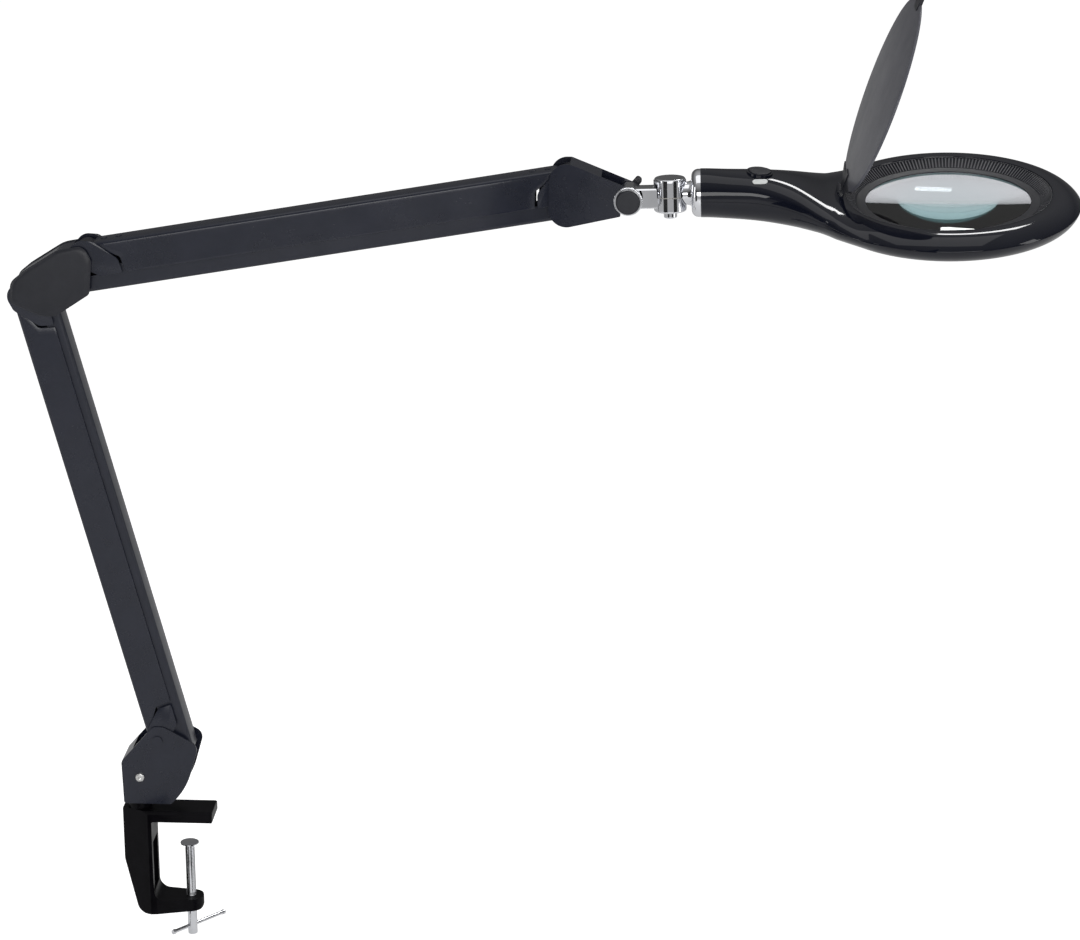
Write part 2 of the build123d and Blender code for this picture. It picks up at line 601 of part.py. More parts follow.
def elbow():
    """Elbow bracket, its two covers and its pins."""
    x0, z0 = elbow_lower
    shape = [(-8.6, -4.6, 6.5), (-7.0, 12.5, 10.0), (4.0, 21.5, 20.0), (31.0, 38.5, 24.0), (52.5, 42.4, 10.0),
             (58.2, 30.5, 8.0), (55.5, 3.2, 5.0), (27.5, -15.2, 10.0), (14.5, -14.4, 6.0)]
    outline = [(x0 + x, z0 + z, r) for x, z, r in shape]
    inset = 1.0
    centre = (x0 + 26.0, z0 + 14.0)
    frame_outline = []
    for x, z, r in outline:
        away = hypot(x - centre[0], z - centre[1])
        frame_outline.append((x - inset * (x - centre[0]) / away, z - inset * (z - centre[1]) / away, r))
    body = plate(frame_outline, -CHEEK_OUT, CHEEK_OUT)
    body -= plate([(x0 - 30.0, z0 - 40.0, 0), (x0 + 90.0, z0 - 40.0, 0), (x0 + 90.0, z0 + 60.0, 0),
                   (x0 + 41.0, z0 + 60.0, 0), (x0 + 41.0, z0 + 37.4, 0), (x0 + 31.0, z0 + 35.3, 24.0),
                   (x0 + 4.3, z0 + 18.2, 14.0), (x0 - 3.0, z0 + 12.2, 0), (x0 - 30.0, z0 + 12.2, 0)],
                  -CHEEK_IN, CHEEK_IN)
    for pivot, radius in ((elbow_lower, PIN_R), (elbow_upper, PIN_R),
                          (elbow_lower_inner, STUB_R), (elbow_upper_inner, STUB_R)):
        body -= rod_y(*pivot, radius, -40.0, 40.0)
    save("elbow_bracket", body)

    cover = plate(outline, -CHEEK_OUT - COVER, -CHEEK_OUT)
    rim = cover.edges().group_by(Axis.Y)[0]
    cover = fillet(rim, 0.9)
    for pivot in (elbow_lower, elbow_upper, elbow_lower_inner, elbow_upper_inner):
        cover -= rod_y(*pivot, PIN_HEAD_R + 0.3, -CHEEK_OUT - 0.7, -CHEEK_OUT + 1.0)
    save("elbow_covers", both_sides(cover))

    flush = CHEEK_OUT + 0.5
    pins = []
    for pivot in (elbow_lower, elbow_upper):
        pins.append(rod_y(*pivot, PIN_R, -flush, flush))
    for pivot in (elbow_lower_inner, elbow_upper_inner):
        pins.append(collared_pin(*pivot, flush))
    save("elbow_pins", pins)


def wrist():
    """Wrist bracket with the tilt bolt, its washers, cap and lever."""
    x0, z0 = wrist_outer
    bx, bz = tilt_axis
    tangent = (bx + LUG_R * 0.3665, bz + LUG_R * 0.9304)
    shape = [(x0 - 15.0, z0 + 11.4, 13.0), (x0 + 1.0, z0 + 11.3, 4.0), (*tangent, 0), (bx, bz, 0),
             (x0 + 39.8, bz - 1.0, 0), (x0 + 39.8, z0 - 29.2, 1.0), (x0 - 16.5, z0 - 41.7, 14.0)]
    cheeks = plate(shape, -CHEEK_OUT, CHEEK_OUT) + rod_y(bx, bz, LUG_R, -CHEEK_OUT, CHEEK_OUT)
    slope = (tangent[1] - (z0 + 11.3)) / (tangent[0] - (x0 + 1.0))
    web_end = x0 + 24.8
    under = [(x0 - 40.0, z0 + 40.0, 0), (x0 + 0.5, z0 + 40.0, 0), (x0 + 0.5, z0 + 11.3 - CHEEK, 0),
             (web_end, z0 + 11.3 - CHEEK + slope * 23.8, 0), (web_end, z0 + 40.0, 0), (bx + 40.0, z0 + 40.0, 0),
             (bx + 40.0, z0 - 80.0, 0), (x0 - 40.0, z0 - 80.0, 0)]
    body = cheeks - plate(under, -CHEEK_IN, CHEEK_IN)
    body -= rod_y(x0, z0, PIN_R, -40.0, 40.0)
    body -= rod_y(*wrist_inner, STUB_R, -40.0, 40.0)
    body -= rod_y(bx, bz, BOLT_R + RUN, -40.0, 40.0)
    save("wrist_bracket", body)
    flush = CHEEK_OUT + 0.02
    save("wrist_pivot_pin", rod_y(x0, z0, PIN_R, -flush, flush))
    save("wrist_inner_pin", collared_pin(*wrist_inner, flush))

    washer_out = CHEEK_OUT + WASHER_THICKNESS
    bore = rod_y(bx, bz, BOLT_R + RUN, -40.0, 40.0)
    washer = rod_y(bx, bz, WASHER_R, -washer_out, -CHEEK_OUT)
    washer = fillet(washer.edges().filter_by(GeomType.CIRCLE).sort_by(Axis.Y)[0], 0.6)
    save("tilt_washer_near", washer - bore)
    far = rod_y(bx, bz, LUG_R - 0.8, CHEEK_OUT, washer_out) - bore
    rub_low = LINK_HALF_WIDTH + RUN
    pads = both_sides(rod_y(bx, bz, LUG_R - 0.8, -CHEEK_IN, -rub_low) - bore)
    save("tilt_washers", [far] + pads)

    cap_out = washer_out + CAP_THICKNESS
    bolt_end = washer_out + 7.0
    save("tilt_bolt", rod_y(bx, bz, BOLT_R, -washer_out - 2.4, bolt_end))
    cap = rod_y(bx, bz, CAP_R, -cap_out, -washer_out)
    cap = fillet(cap.edges().filter_by(GeomType.CIRCLE).sort_by(Axis.Y)[0], 1.2)
    save("tilt_cap", cap - rod_y(bx, bz, BOLT_R + RUN, -washer_out - 2.5, 0))

    lever_in, lever_out = washer_out + RUN, washer_out + 8.4
    tip = vector_at(LEVER_ANGLE, LEVER_LENGTH)
    hub = rod_y(bx, bz, 6.0, lever_in, lever_out)
    handle = plate([(-4.0, -3.2, 1.0), (LEVER_LENGTH, -2.6, 2.2), (LEVER_LENGTH, 2.6, 2.2), (-4.0, 3.2, 1.0)],
                   lever_in + 1.6, lever_out - 1.0)
    handle = Pos(bx, 0, bz) * Rot(0, -LEVER_ANGLE, 0) * handle
    save("tilt_lever", hub + handle - rod_y(bx, bz, BOLT_R + RUN, 0, bolt_end + RUN))


def tilt_frame():
    """Frame at the tilt bolt, pitched with the head."""
    return Location((tilt_axis[0], 0, tilt_axis[1])) * Rot(0, -HEAD_PITCH, 0)


def swivel_joint():
    """Chrome link, upright swivel barrel and neck."""
    place = tilt_frame()
    seam = BARREL_RISE
    low, high = seam - BARREL_HEIGHT / 2, seam + BARREL_HEIGHT / 2
    around = BARREL_R + 0.5
    lug = rod_y(0, 0, LUG_R, -LINK_HALF_WIDTH, LINK_HALF_WIDTH)
    bar = block(0, BARREL_REACH, -LINK_WAIST, LINK_WAIST, -LINK_HEIGHT / 2, LINK_HEIGHT / 2)
    bar = chamfer(bar.edges().filter_by(Axis.X), 1.0)
    half = seam - BARREL_WASHER / 2
    bar -= rod_z(BARREL_REACH, 0, around, half, 40.0)
    bar -= block(BARREL_REACH - 6.0, BARREL_REACH + 20.0, -30.0, 30.0, half, 40.0)
    lower = rod_z(BARREL_REACH, 0, BARREL_R, low, half)
    lower = fillet(lower.edges().filter_by(GeomType.CIRCLE).sort_by(Axis.Z)[0], 1.6)
    link = lug + bar + lower
    link -= rod_y(0, 0, BOLT_R + RUN, -40.0, 40.0)
    link -= rod_z(BARREL_REACH, 0, SWIVEL_PIN_R + RUN, low - 5.0, high)
    save("tilt_link", place * link)

    bore = rod_z(BARREL_REACH, 0, SWIVEL_PIN_R + RUN, -40.0, 40.0)
    seal = rod_z(BARREL_REACH, 0, BARREL_R - 1.0, half + 0.02, half + BARREL_WASHER - 0.02) - bore
    save("barrel_washer", place * seal)
    pin = rod_z(BARREL_REACH, 0, SWIVEL_PIN_R, low - BARREL_BOSS, high - 3.0)
    boss = rod_z(BARREL_REACH, 0, BARREL_BOSS_R, low - BARREL_BOSS, low - 0.02)
    boss = fillet(boss.edges().filter_by(GeomType.CIRCLE).sort_by(Axis.Z)[0], 1.2)
    save("swivel_pin", place * (pin + boss))

    top = half + BARREL_WASHER
    upper = rod_z(BARREL_REACH, 0, BARREL_R, top, high)
    stub_start = BARREL_REACH + 6.0
    stub_end = BARREL_REACH + COLLAR_REACH - 0.2
    waist = ThreePointArc((NECK_FLARE_R, stub_start), (NECK_WAIST_R, stub_end - 4.5), (NECK_R, stub_end))
    core = Polyline((NECK_R, stub_end), (0, stub_end), (0, stub_start), (NECK_FLARE_R, stub_start))
    saddle = revolve(Plane.XZ * make_face(waist + core), Axis.Z)
    stub = Pos(0, 0, HANDLE_RISE) * Rot(0, 90, 0) * saddle
    stub -= rod_z(BARREL_REACH, 0, around, -40.0, top)
    stub -= rod_z(BARREL_REACH, 0, BARREL_R - 1.0, high - 0.5, 40.0)
    spigot = rod_x(stub_end - 1.0, stub_end + COLLAR_LENGTH + 14.0, SPIGOT_NECK_R, HANDLE_RISE)
    groove_x = stub_end + COLLAR_LENGTH + 10.0
    groove = rod_x(groove_x, groove_x + 1.6, SPIGOT_NECK_R + 1.0, HANDLE_RISE)
    groove -= rod_x(groove_x - 1.0, groove_x + 3.0, SPIGOT_NECK_R - 1.2, HANDLE_RISE)
    neck = upper + stub + spigot - groove
    neck -= rod_z(BARREL_REACH, 0, SWIVEL_PIN_R + RUN, top - 1.0, high - 2.5)
    save("swivel_neck", place * neck)
    clip = rod_x(groove_x + 0.05, groove_x + 1.55, SPIGOT_NECK_R + 2.6, HANDLE_RISE)
    clip -= rod_x(groove_x - 1.0, groove_x + 3.0, SPIGOT_NECK_R - 1.15, HANDLE_RISE)
    save("twist_clip", place * clip)

    cap = rod_z(BARREL_REACH, 0, BARREL_R - 0.6, high, high + BARREL_CAP)
    cap = fillet(cap.edges().filter_by(GeomType.CIRCLE).sort_by(Axis.Z)[-1], 1.2)
    save("barrel_cap", place * cap)


def section(x, centre, half_width, top, bottom, power, shrink=0.0):
    """Closed smooth cross-section of the handle, across X, given by its limits in z."""
    count = 16
    points = []
    for i in range(count):
        angle = 2 * pi * i / count
        c, s = cos(angle), sin(angle)
        height = (top - centre if s > 0 else centre - bottom) - shrink
        width = half_width - shrink
        y = width * abs(c) ** (2 / power) * (1 if c > 0 else -1)
        z = height * abs(s) ** (2 / power) * (1 if s > 0 else -1)
        points.append((y, centre + z))
    return Plane.YZ.offset(x) * make_face(Spline(*points, periodic=True))


HANDLE_SECTIONS = [
    (COLLAR_LENGTH, 0.0, HANDLE_R, HANDLE_R, -HANDLE_R, 2.0),
    (28.0, -0.4, 19.8, 17.6, -19.8, 2.2),
    (BUTTON_X, -1.4, 22.5, 15.8, -21.8, 2.4),
    (78.0, -4.4, 32.5, 11.6, -24.6, 2.4),
    (101.0, -9.2, 49.0, 4.0, -26.4, 2.3),
    (124.0, -LENS_DROP - NOSE_DROP, 66.0, -LENS_DROP + RIM_RISE - 0.6, -LENS_DROP - RING_DEPTH + 0.8, 2.2),
]


def handle_solid(shrink):
    """Spoon-shaped handle up to the ring, lofted through its cross-sections."""
    faces = []
    for x, centre, half_width, top, bottom, power in HANDLE_SECTIONS:
        faces.append(section(x, centre, half_width, top, bottom, power, shrink))
    return loft(faces)


def at_lens(solid):
    """Moves a solid from the lens axis to its place in the head's frame."""
    return Pos(LENS_REACH, 0, -LENS_DROP) * solid


def ring_form(wall):
    """Solid of the ring's outer form about the lens axis, drawn in by a wall."""
    rim = (RECESS_R + 0.4 * wall, RIM_RISE - wall)
    crown = (RECESS_R + 16.0 - 0.7 * wall, RIM_RISE - 3.2 - 0.8 * wall)
    nose = (RING_R - wall, -NOSE_DROP)
    belly = (RING_R - 5.2 - 0.8 * wall, -RING_DEPTH + 4.2 + 0.6 * wall)
    foot = (WINDOW_R[1] + 1.5, -RING_DEPTH + wall)
    top = ThreePointArc(rim, crown, nose)
    under = ThreePointArc(nose, belly, foot)
    inside = Polyline(foot, (0, -RING_DEPTH + wall), (0, RIM_RISE - wall), rim)
    return revolve(Plane.XZ * make_face(top + under + inside), Axis.Z)


def recess_form():
    """Space inside the upper shell's rim: a cone, the tube that holds the lens, and its ledge."""
    high, low = RIM_RISE + 20.0, -RING_DEPTH - 5.0
    return turned([(0, high), (RECESS_R, high), (RECESS_R, CONE_TOP), (SKIRT_R, CONE_LOW), (SKIRT_R, LEDGE_Z),
                   (LENS_R - LEDGE_LAP, LEDGE_Z), (LENS_R - LEDGE_LAP, LEDGE_Z - LEDGE_HEIGHT),
                   (SKIRT_R, LEDGE_Z - LEDGE_HEIGHT - 1.5), (SKIRT_R, low), (0, low)])


def ring_cavity():
    """Hollow of the ring: between the skin, the cone and the tube, open at the light window."""
    wall = SHELL_WALL * 0.8
    tube = SKIRT_R + SKIRT_WALL
    high, low = RIM_RISE + 20.0, -RING_DEPTH - 5.0
    keep = turned([(0, high), (RECESS_R + wall, high), (RECESS_R + wall, CONE_TOP - wall),
                   (tube, CONE_LOW - wall), (tube, low), (0, low)])
    window_top = -RING_DEPTH + SHELL_WALL + 0.5
    window = turned([(tube, low), (WINDOW_R[1], low), (WINDOW_R[1], window_top), (tube, window_top)])
    return ring_form(SHELL_WALL) - keep + window


def above_parting():
    """Everything above the seam between the two shells."""
    seam = -LENS_DROP - NOSE_DROP - SEAM_DROP
    points = [(x, centre - SEAM_DROP) for x, centre, half_width, top, bottom, power in HANDLE_SECTIONS]
    end = LENS_REACH + RING_R + 10.0
    last = HANDLE_SECTIONS[-1][0] - 6.0
    rest = [(last, seam), (end, seam), (end, 60.0), (-10.0, 60.0)]
    face = make_face(Polyline((-10.0, points[0][1]), *points[:-1], *rest, close=True))
    slab = extrude(Plane.XZ.offset(-120.0) * face, 240.0)
    return slab + at_lens(rod_z(0, 0, SKIRT_R + SKIRT_WALL + 5.0, -60.0, 0))


def screw_places():
    """Places of the shell screws about the lens axis."""
    return [(SHELL_SCREW_R * cos(radians(a)), SHELL_SCREW_R * sin(radians(a))) for a in SHELL_SCREW_ANGLES]


def at_button(solid):
    """Moves a solid onto the handle's top surface, under the power button."""
    return Pos(BUTTON_X, 0, BUTTON_Z) * Rot(0, BUTTON_TILT, 0) * solid


def at_window(solid):
    """Moves a solid onto the handle's near shoulder, beside the button."""
    return Pos(BUTTON_X, -INDICATOR_Y, INDICATOR_Z) * Rot(INDICATOR_TILT, 0, 0) * solid


def capsule(length, width, z_low, z_high):
    """Bar with rounded ends along X."""
    return extrude(Pos(0, 0, z_low) * SlotOverall(length, width), z_high - z_low)


def head_openings():
    """Every hole and pocket cut into the head's outer form."""
    hinge_x, hinge_z = LENS_REACH - LID_HINGE_R, LID_HINGE_RISE - LENS_DROP
    lug_out = LID_LUG_HALF_WIDTH + SIDE_GAP + LID_LUG
    pocket = LID_LUG_HALF_WIDTH + SIDE_GAP
    seam, floor = -NOSE_DROP - SEAM_DROP, -RING_DEPTH
    sunk = floor + SHELL_SCREW_SUNK
    holes = [at_lens(recess_form())]
    holes.append(rod_y(hinge_x, hinge_z, LID_LUG_R + 1.0, -pocket, pocket))
    holes.append(block(hinge_x, hinge_x + 12.0, -pocket, pocket, hinge_z - LID_LUG_R - 0.4, hinge_z + 20.0))
    holes.append(rod_y(hinge_x, hinge_z, LID_PIN_R, -lug_out - 1.0, lug_out + 1.0))
    holes.append(rod_x(-1.0, COLLAR_LENGTH + TWIST_BOSS + 4.0, SPIGOT_NECK_R + RUN))
    for x, y in screw_places():
        holes.append(at_lens(rod_z(x, y, SHELL_SCREW, floor, seam + SHELL_SCREW_GRIP)))
        holes.append(at_lens(rod_z(x, y, SHELL_SCREW_HEAD_R + 0.2, floor - 20.0, sunk + SHELL_SCREW_HEAD)))
    holes.append(at_button(rod_z(0, 0, BUTTON_BEZEL_R + RUN, -8.0, 10.0)))
    holes.append(at_window(capsule(INDICATOR[0], INDICATOR[1], -6.0, 6.0)))
    return holes


def head_bosses():
    """Every boss left standing in the head's hollow."""
    hinge_x, hinge_z = LENS_REACH - LID_HINGE_R, LID_HINGE_RISE - LENS_DROP
    lug_out = LID_LUG_HALF_WIDTH + SIDE_GAP + LID_LUG
    bosses = [block(0, COLLAR_LENGTH + 2.6, -60.0, 60.0, -60.0, 60.0)]
    bosses.append(rod_x(0, COLLAR_LENGTH + TWIST_BOSS, TWIST_BOSS_R))
    bosses.append(block(hinge_x - 6.0, hinge_x + 6.0, -lug_out, lug_out, hinge_z - 6.4, 60.0))
    for x, y in screw_places():
        bosses.append(at_lens(rod_z(x, y, BOSS_POST_R, -40.0, 20.0)))
    for x in BOARD_POST_X:
        bosses.append(rod_z(x, 0, BOARD_POST_R, -40.0, DRIVER_Z))
    return bosses


def head_shells():
    """Upper and lower shell of the head, with their bosses and openings."""
    hinge_x, hinge_z = LENS_REACH - LID_HINGE_R, LID_HINGE_RISE - LENS_DROP
    lug_out = LID_LUG_HALF_WIDTH + SIDE_GAP + LID_LUG
    ring_only = at_lens(rod_z(0, 0, RING_R - 10.0, -60.0, 60.0))
    lugs = rod_y(hinge_x, hinge_z, LID_LUG_R, -lug_out, lug_out)
    lugs += block(hinge_x - LID_LUG_R, hinge_x + LID_LUG_R, -lug_out, lug_out, hinge_z - 5.0, hinge_z)
    skin = handle_solid(0.0) - ring_only + at_lens(ring_form(0.0)) + lugs
    skin -= head_openings()
    hollow = handle_solid(SHELL_WALL) - ring_only + at_lens(ring_cavity())
    hollow -= head_bosses()
    shell = skin - hollow
    above = above_parting()
    top = (shell & above).solids().sort_by(SortBy.VOLUME)[-1]
    bottom = (shell - above).solids().sort_by(SortBy.VOLUME)[-1]
    return top, bottom


def lens():
    """Biconvex magnifying lens about its own axis."""
    drop = LENS_CURVE_R - sqrt(LENS_CURVE_R ** 2 - LENS_R ** 2)
    half = LENS_CURVE_R - sqrt(LENS_CURVE_R ** 2 - LENS_R ** 2 / 4)
    edge_low = LENS_TOP - LENS_EDGE
    top = ThreePointArc((0, LENS_TOP + drop), (LENS_R / 2, LENS_TOP + drop - half), (LENS_R, LENS_TOP))
    side = Line((LENS_R, LENS_TOP), (LENS_R, edge_low))
    under = ThreePointArc((LENS_R, edge_low), (LENS_R / 2, edge_low - drop + half), (0, edge_low - drop))
    axis = Line((0, edge_low - drop), (0, LENS_TOP + drop))
    return revolve(Plane.XZ * make_face(top + side + under + axis), Axis.Z)


def lid_parts():
    """Lid disc, its hinge arm, finger tab and pin, closed, about the lens axis."""
    low = RIM_RISE + 0.6
    high = low + LID_THICKNESS
    top = Spline((0, high + LID_DOME), (LID_R * 0.5, high + LID_DOME * 0.75), (LID_R - 0.8, high))
    edge = Polyline((LID_R - 0.8, high), (LID_R, high - 0.8), (LID_R, low))
    under = Spline((LID_R, low), (LID_R * 0.5, low + LID_DOME * 0.75), (0, low + LID_DOME))
    axis = Line((0, low + LID_DOME), (0, high + LID_DOME))
    disc = revolve(Plane.XZ * make_face(top + edge + under + axis), Axis.Z)
    root = -LID_HINGE_R
    half = LID_LUG_HALF_WIDTH
    notch = block(root, root + LID_ARM_LENGTH, -half, half, low - 5.0, high + 9.0)
    arm_body = block(root, root + LID_ARM_LENGTH, -half, half, low, high + 1.4)
    arm_body += rod_y(root, LID_HINGE_RISE, LID_KNUCKLE_R, -half, half)
    arm_body -= rod_y(root, LID_HINGE_RISE, LID_PIN_R + RUN, -20.0, 20.0)
    tab_shape = RectangleRounded(LID_TAB[0], LID_TAB[1], 3.5)
    tab = extrude(Pos(LID_R + 1.0, 0, low) * tab_shape, LID_THICKNESS + 1.0)
    disc = disc - notch - block(LID_R + 1.0 - LID_TAB[0] / 2, LID_R + 9.0, -LID_TAB[1] / 2, LID_TAB[1] / 2,
                                low - 5.0, high + 9.0)
    pin_half = half + SIDE_GAP + LID_LUG
    pin = rod_y(root, LID_HINGE_RISE, LID_PIN_R, -pin_half, pin_half)
    return disc, arm_body, tab, pin


def head_frame():
    """Frame of the head at rest: rolled about the handle and pitched with the link."""
    return tilt_frame() * Pos(BARREL_REACH + COLLAR_REACH, 0, HANDLE_RISE) * Rot(HEAD_ROLL, 0, 0)


def head():
    """Every node of the head."""
    place = head_frame()
    top, bottom = head_shells()
    save("head_top_shell", place * top)
    save("head_bottom_shell", place * bottom)

    collar = rod_x(0, COLLAR_LENGTH, HANDLE_R - 0.3)
    collar = fillet(collar.edges().filter_by(GeomType.CIRCLE).sort_by(Axis.X)[0], COLLAR_ROUND)
    save("handle_collar", place * (collar - rod_x(-5.0, 20.0, SPIGOT_NECK_R + RUN)))

    lip_low = LENS_TOP + LIP_RISE
    bezel = turned([(RECESS_R - 0.3, RIM_RISE - 0.4), (SKIRT_R + 1.8, 0.6), (LENS_CLEAR_R, lip_low + 0.9),
                    (LENS_CLEAR_R, lip_low), (SKIRT_R, LENS_TOP + 0.3), (SKIRT_R + 0.4, CONE_LOW + 0.4),
                    (RECESS_R - 0.3, CONE_TOP + 0.2)])
    save("lens_bezel", place * at_lens(bezel))
    save("lens", place * at_lens(lens()))
    edge_low = LENS_TOP - LENS_EDGE
    gasket = rod_z(0, 0, SKIRT_R - 0.05, edge_low, LENS_TOP) - rod_z(0, 0, LENS_R + 0.05, -20.0, 20.0)
    save("lens_gasket", place * at_lens(gasket))

    inner, outer = BOARD_R
    board = rod_z(0, 0, outer, BOARD_Z, BOARD_Z + BOARD_THICKNESS) - rod_z(0, 0, inner, -20.0, 20.0)
    save("light_board", place * at_lens(board))
    chips = []
    for i in range(CHIP_COUNT):
        chip = block(-CHIP[0] / 2, CHIP[0] / 2, -CHIP[1] / 2, CHIP[1] / 2, BOARD_Z - CHIP[2], BOARD_Z)
        chips.append(place * at_lens(Rot(0, 0, 360.0 / CHIP_COUNT * i) * Pos((inner + outer) / 2, 0, 0) * chip))
    save("light_chips", chips)
    floor = -RING_DEPTH
    diffuser = rod_z(0, 0, WINDOW_R[1] - 0.3, floor, floor + DIFFUSER_THICKNESS)
    diffuser -= rod_z(0, 0, SKIRT_R + SKIRT_WALL + 0.3, -40.0, 20.0)
    save("diffuser_ring", place * at_lens(diffuser))

    screws = []
    seam = -NOSE_DROP - SEAM_DROP
    sunk = floor + SHELL_SCREW_SUNK
    for x, y in screw_places():
        screw = rod_z(x, y, SHELL_SCREW, sunk, seam + SHELL_SCREW_GRIP)
        screw += rod_z(x, y, SHELL_SCREW_HEAD_R, sunk, sunk + SHELL_SCREW_HEAD)
        screws.append(place * at_lens(screw))
    save("shell_screws", screws)

    save("driver_board", place * block(26.0, 84.0, -13.0, 13.0, DRIVER_Z, DRIVER_Z + BOARD_THICKNESS))
    ring = rod_z(0, 0, BUTTON_BEZEL_R, -4.0, 0.9) - rod_z(0, 0, BUTTON_R + SIDE_GAP, -10.0, 10.0)
    save("switch_bezel", place * at_button(ring))
    base_z = -(BUTTON_Z - DRIVER_Z - BOARD_THICKNESS) + 1.2
    body = block(-7.0, 7.0, -7.0, 7.0, base_z, -5.0) - rod_z(0, 0, STEM_R + RUN, -11.0, 0)
    body += block(-11.0, 11.0, -3.0, 3.0, -6.6, -5.0) - rod_z(0, 0, STEM_R + RUN, -11.0, 0)
    save("switch_body", place * at_button(body))
    button = rod_z(0, 0, BUTTON_R, -2.6, 1.8)
    button = fillet(button.edges().filter_by(GeomType.CIRCLE).sort_by(Axis.Z)[-1], 0.8)
    button += rod_z(0, 0, STEM_R, -9.0, -2.6)
    save("power_button", place * at_button(button))
    save("indicator_window", place * at_window(capsule(INDICATOR[0], INDICATOR[1], -2.6, 0.3)))

    opened = Pos(-LID_HINGE_R, 0, LID_HINGE_RISE) * Rot(0, -LID_OPEN, 0) * Pos(LID_HINGE_R, 0, -LID_HINGE_RISE)
    disc, arm_body, tab, pin = lid_parts()
    save("lid", place * at_lens(opened * disc))
    save("lid_arm", place * at_lens(opened * arm_body))
    save("lid_tab", place * at_lens(opened * tab))
    save("lid_pin", place * at_lens(pin))


os.makedirs("parts", exist_ok=True)
clamp()
base()
arm("lower", base_outer, LOWER_ANGLE, LOWER_INNER, 1)
arm("upper", elbow_upper, UPPER_RISE, UPPER_INNER, 0)
elbow()
wrist()
swivel_joint()
head()
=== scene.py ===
import bpy
import bmesh
from math import atan2, cos, hypot, pi, radians, sin, sqrt, tan
from mathutils import Matrix, Vector

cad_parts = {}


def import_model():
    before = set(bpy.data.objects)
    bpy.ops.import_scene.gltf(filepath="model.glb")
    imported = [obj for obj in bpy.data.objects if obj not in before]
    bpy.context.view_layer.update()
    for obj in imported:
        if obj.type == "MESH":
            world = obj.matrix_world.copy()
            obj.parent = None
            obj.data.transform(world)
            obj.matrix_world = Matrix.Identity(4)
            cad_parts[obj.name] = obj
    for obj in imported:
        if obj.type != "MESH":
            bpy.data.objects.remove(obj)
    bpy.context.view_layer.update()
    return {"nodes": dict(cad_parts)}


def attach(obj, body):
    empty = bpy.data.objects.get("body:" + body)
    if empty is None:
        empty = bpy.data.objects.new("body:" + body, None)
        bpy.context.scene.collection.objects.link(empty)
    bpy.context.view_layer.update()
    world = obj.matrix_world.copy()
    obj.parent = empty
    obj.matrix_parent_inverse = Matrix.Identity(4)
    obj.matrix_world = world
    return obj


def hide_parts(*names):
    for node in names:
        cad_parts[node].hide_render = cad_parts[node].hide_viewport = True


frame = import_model()
bpy.context.scene.view_settings.view_transform = "Standard"
MM = 0.001

# Sizes shared with the model, in millimetres
ARM_LENGTH = 387.0
LOWER_ANGLE = 104.2
UPPER_ANGLE = 9.6
BASE_PIVOT = (-21.0, 73.0)
LOWER_INNER = (20.3, -3.5)
ELBOW_STEP = (51.4, 35.2)
UPPER_INNER = (-4.0, -25.2)
TILT_BOLT = (45.6, -17.0)
OUTER_HALF = 12.5
WALL = 1.2
SIDE_GAP = 0.3
INNER_HALF = OUTER_HALF - WALL - SIDE_GAP
BEND_R = 3.0
BACK = 7.5
OUTER_DEPTH = 27.0
INNER_DEPTH = 19.5
INNER_END_DEPTH = 13.0
INNER_END_LENGTH = 34.0
BACK_START = 9.0
STRAP_REACH = 28.0
STRAP_THICKNESS = 1.2
STRAP_FACE = OUTER_HALF + STRAP_THICKNESS
HUB_R = 8.5
STRAP_HUB_R = 10.6
CHEEK_GAP = 0.3
CHEEK = 1.5
CHEEK_OUT = STRAP_FACE + CHEEK_GAP + CHEEK
RIVET_STEPS = (16.0, 28.0)
RIVET_R = 1.5
RIVET_GRIP = 3.0
RIVET_HEAD_R = 2.6
RIVET_HEAD = 0.7
SPRING_ANCHOR = (150.0, 3.4)
SPRING_PIN_R = 1.3
SPRING_SIDE = 4.7
SPRING_LENGTH = 92.0
SPRING_SHIFT = 14.0
HEAD_PITCH = 1.9
HEAD_ROLL = 8.5
BARREL_REACH = 32.3
COLLAR_REACH = 16.6
COLLAR_LENGTH = 7.2
HANDLE_RISE = 2.2
LENS_REACH = 198.0
LENS_DROP = 10.8
RING_R = 102.0
RECESS_R = 80.0
WINDOW_R = 88.5
WINDOW_INNER_R = 87.0
RIM_RISE = 7.0
NOSE_DROP = 2.0
RING_DEPTH = 14.5
LID_OPEN = 69.0
LID_HINGE = (83.0, 10.4)


def polar(angle, length):
    return length * cos(radians(angle)), length * sin(radians(angle))


def plus(a, b):
    return a[0] + b[0], a[1] + b[1]


elbow_lower = plus(BASE_PIVOT, polar(LOWER_ANGLE, ARM_LENGTH))
elbow_upper = plus(elbow_lower, ELBOW_STEP)
wrist = plus(elbow_upper, polar(UPPER_ANGLE, ARM_LENGTH))
tilt_axis = plus(wrist, TILT_BOLT)

IDENTITY = Matrix.Identity(4)


def shift(x, y, z):
    return Matrix.Translation((x, y, z))


def turn(axis, angle):
    return Matrix.Rotation(radians(angle), 4, axis)


def arm_place(pivot, angle):
    """Local frame of an arm: x along it, z out of the outer channel's back."""
    return shift(pivot[0], 0, pivot[1]) @ turn("Y", -angle)


tilt_place = shift(tilt_axis[0], 0, tilt_axis[1]) @ turn("Y", -HEAD_PITCH)
head_place = tilt_place @ shift(BARREL_REACH + COLLAR_REACH, 0, HANDLE_RISE) @ turn("X", HEAD_ROLL)
lens_place = head_place @ shift(LENS_REACH, 0, -LENS_DROP)


# Mesh helpers. Everything is built in millimetres and stored in metres.

SHARP_ANGLE = 32.0
CORNER_SHARE = 0.49
SAME_POINT = 0.01
ON_AXIS = 1e-6
ARC_STEPS = 8
LATHE_STEPS = 5
RIM_STEPS = 2
WIRE_SIDES = 6
WIRE_SHARP = 50.0


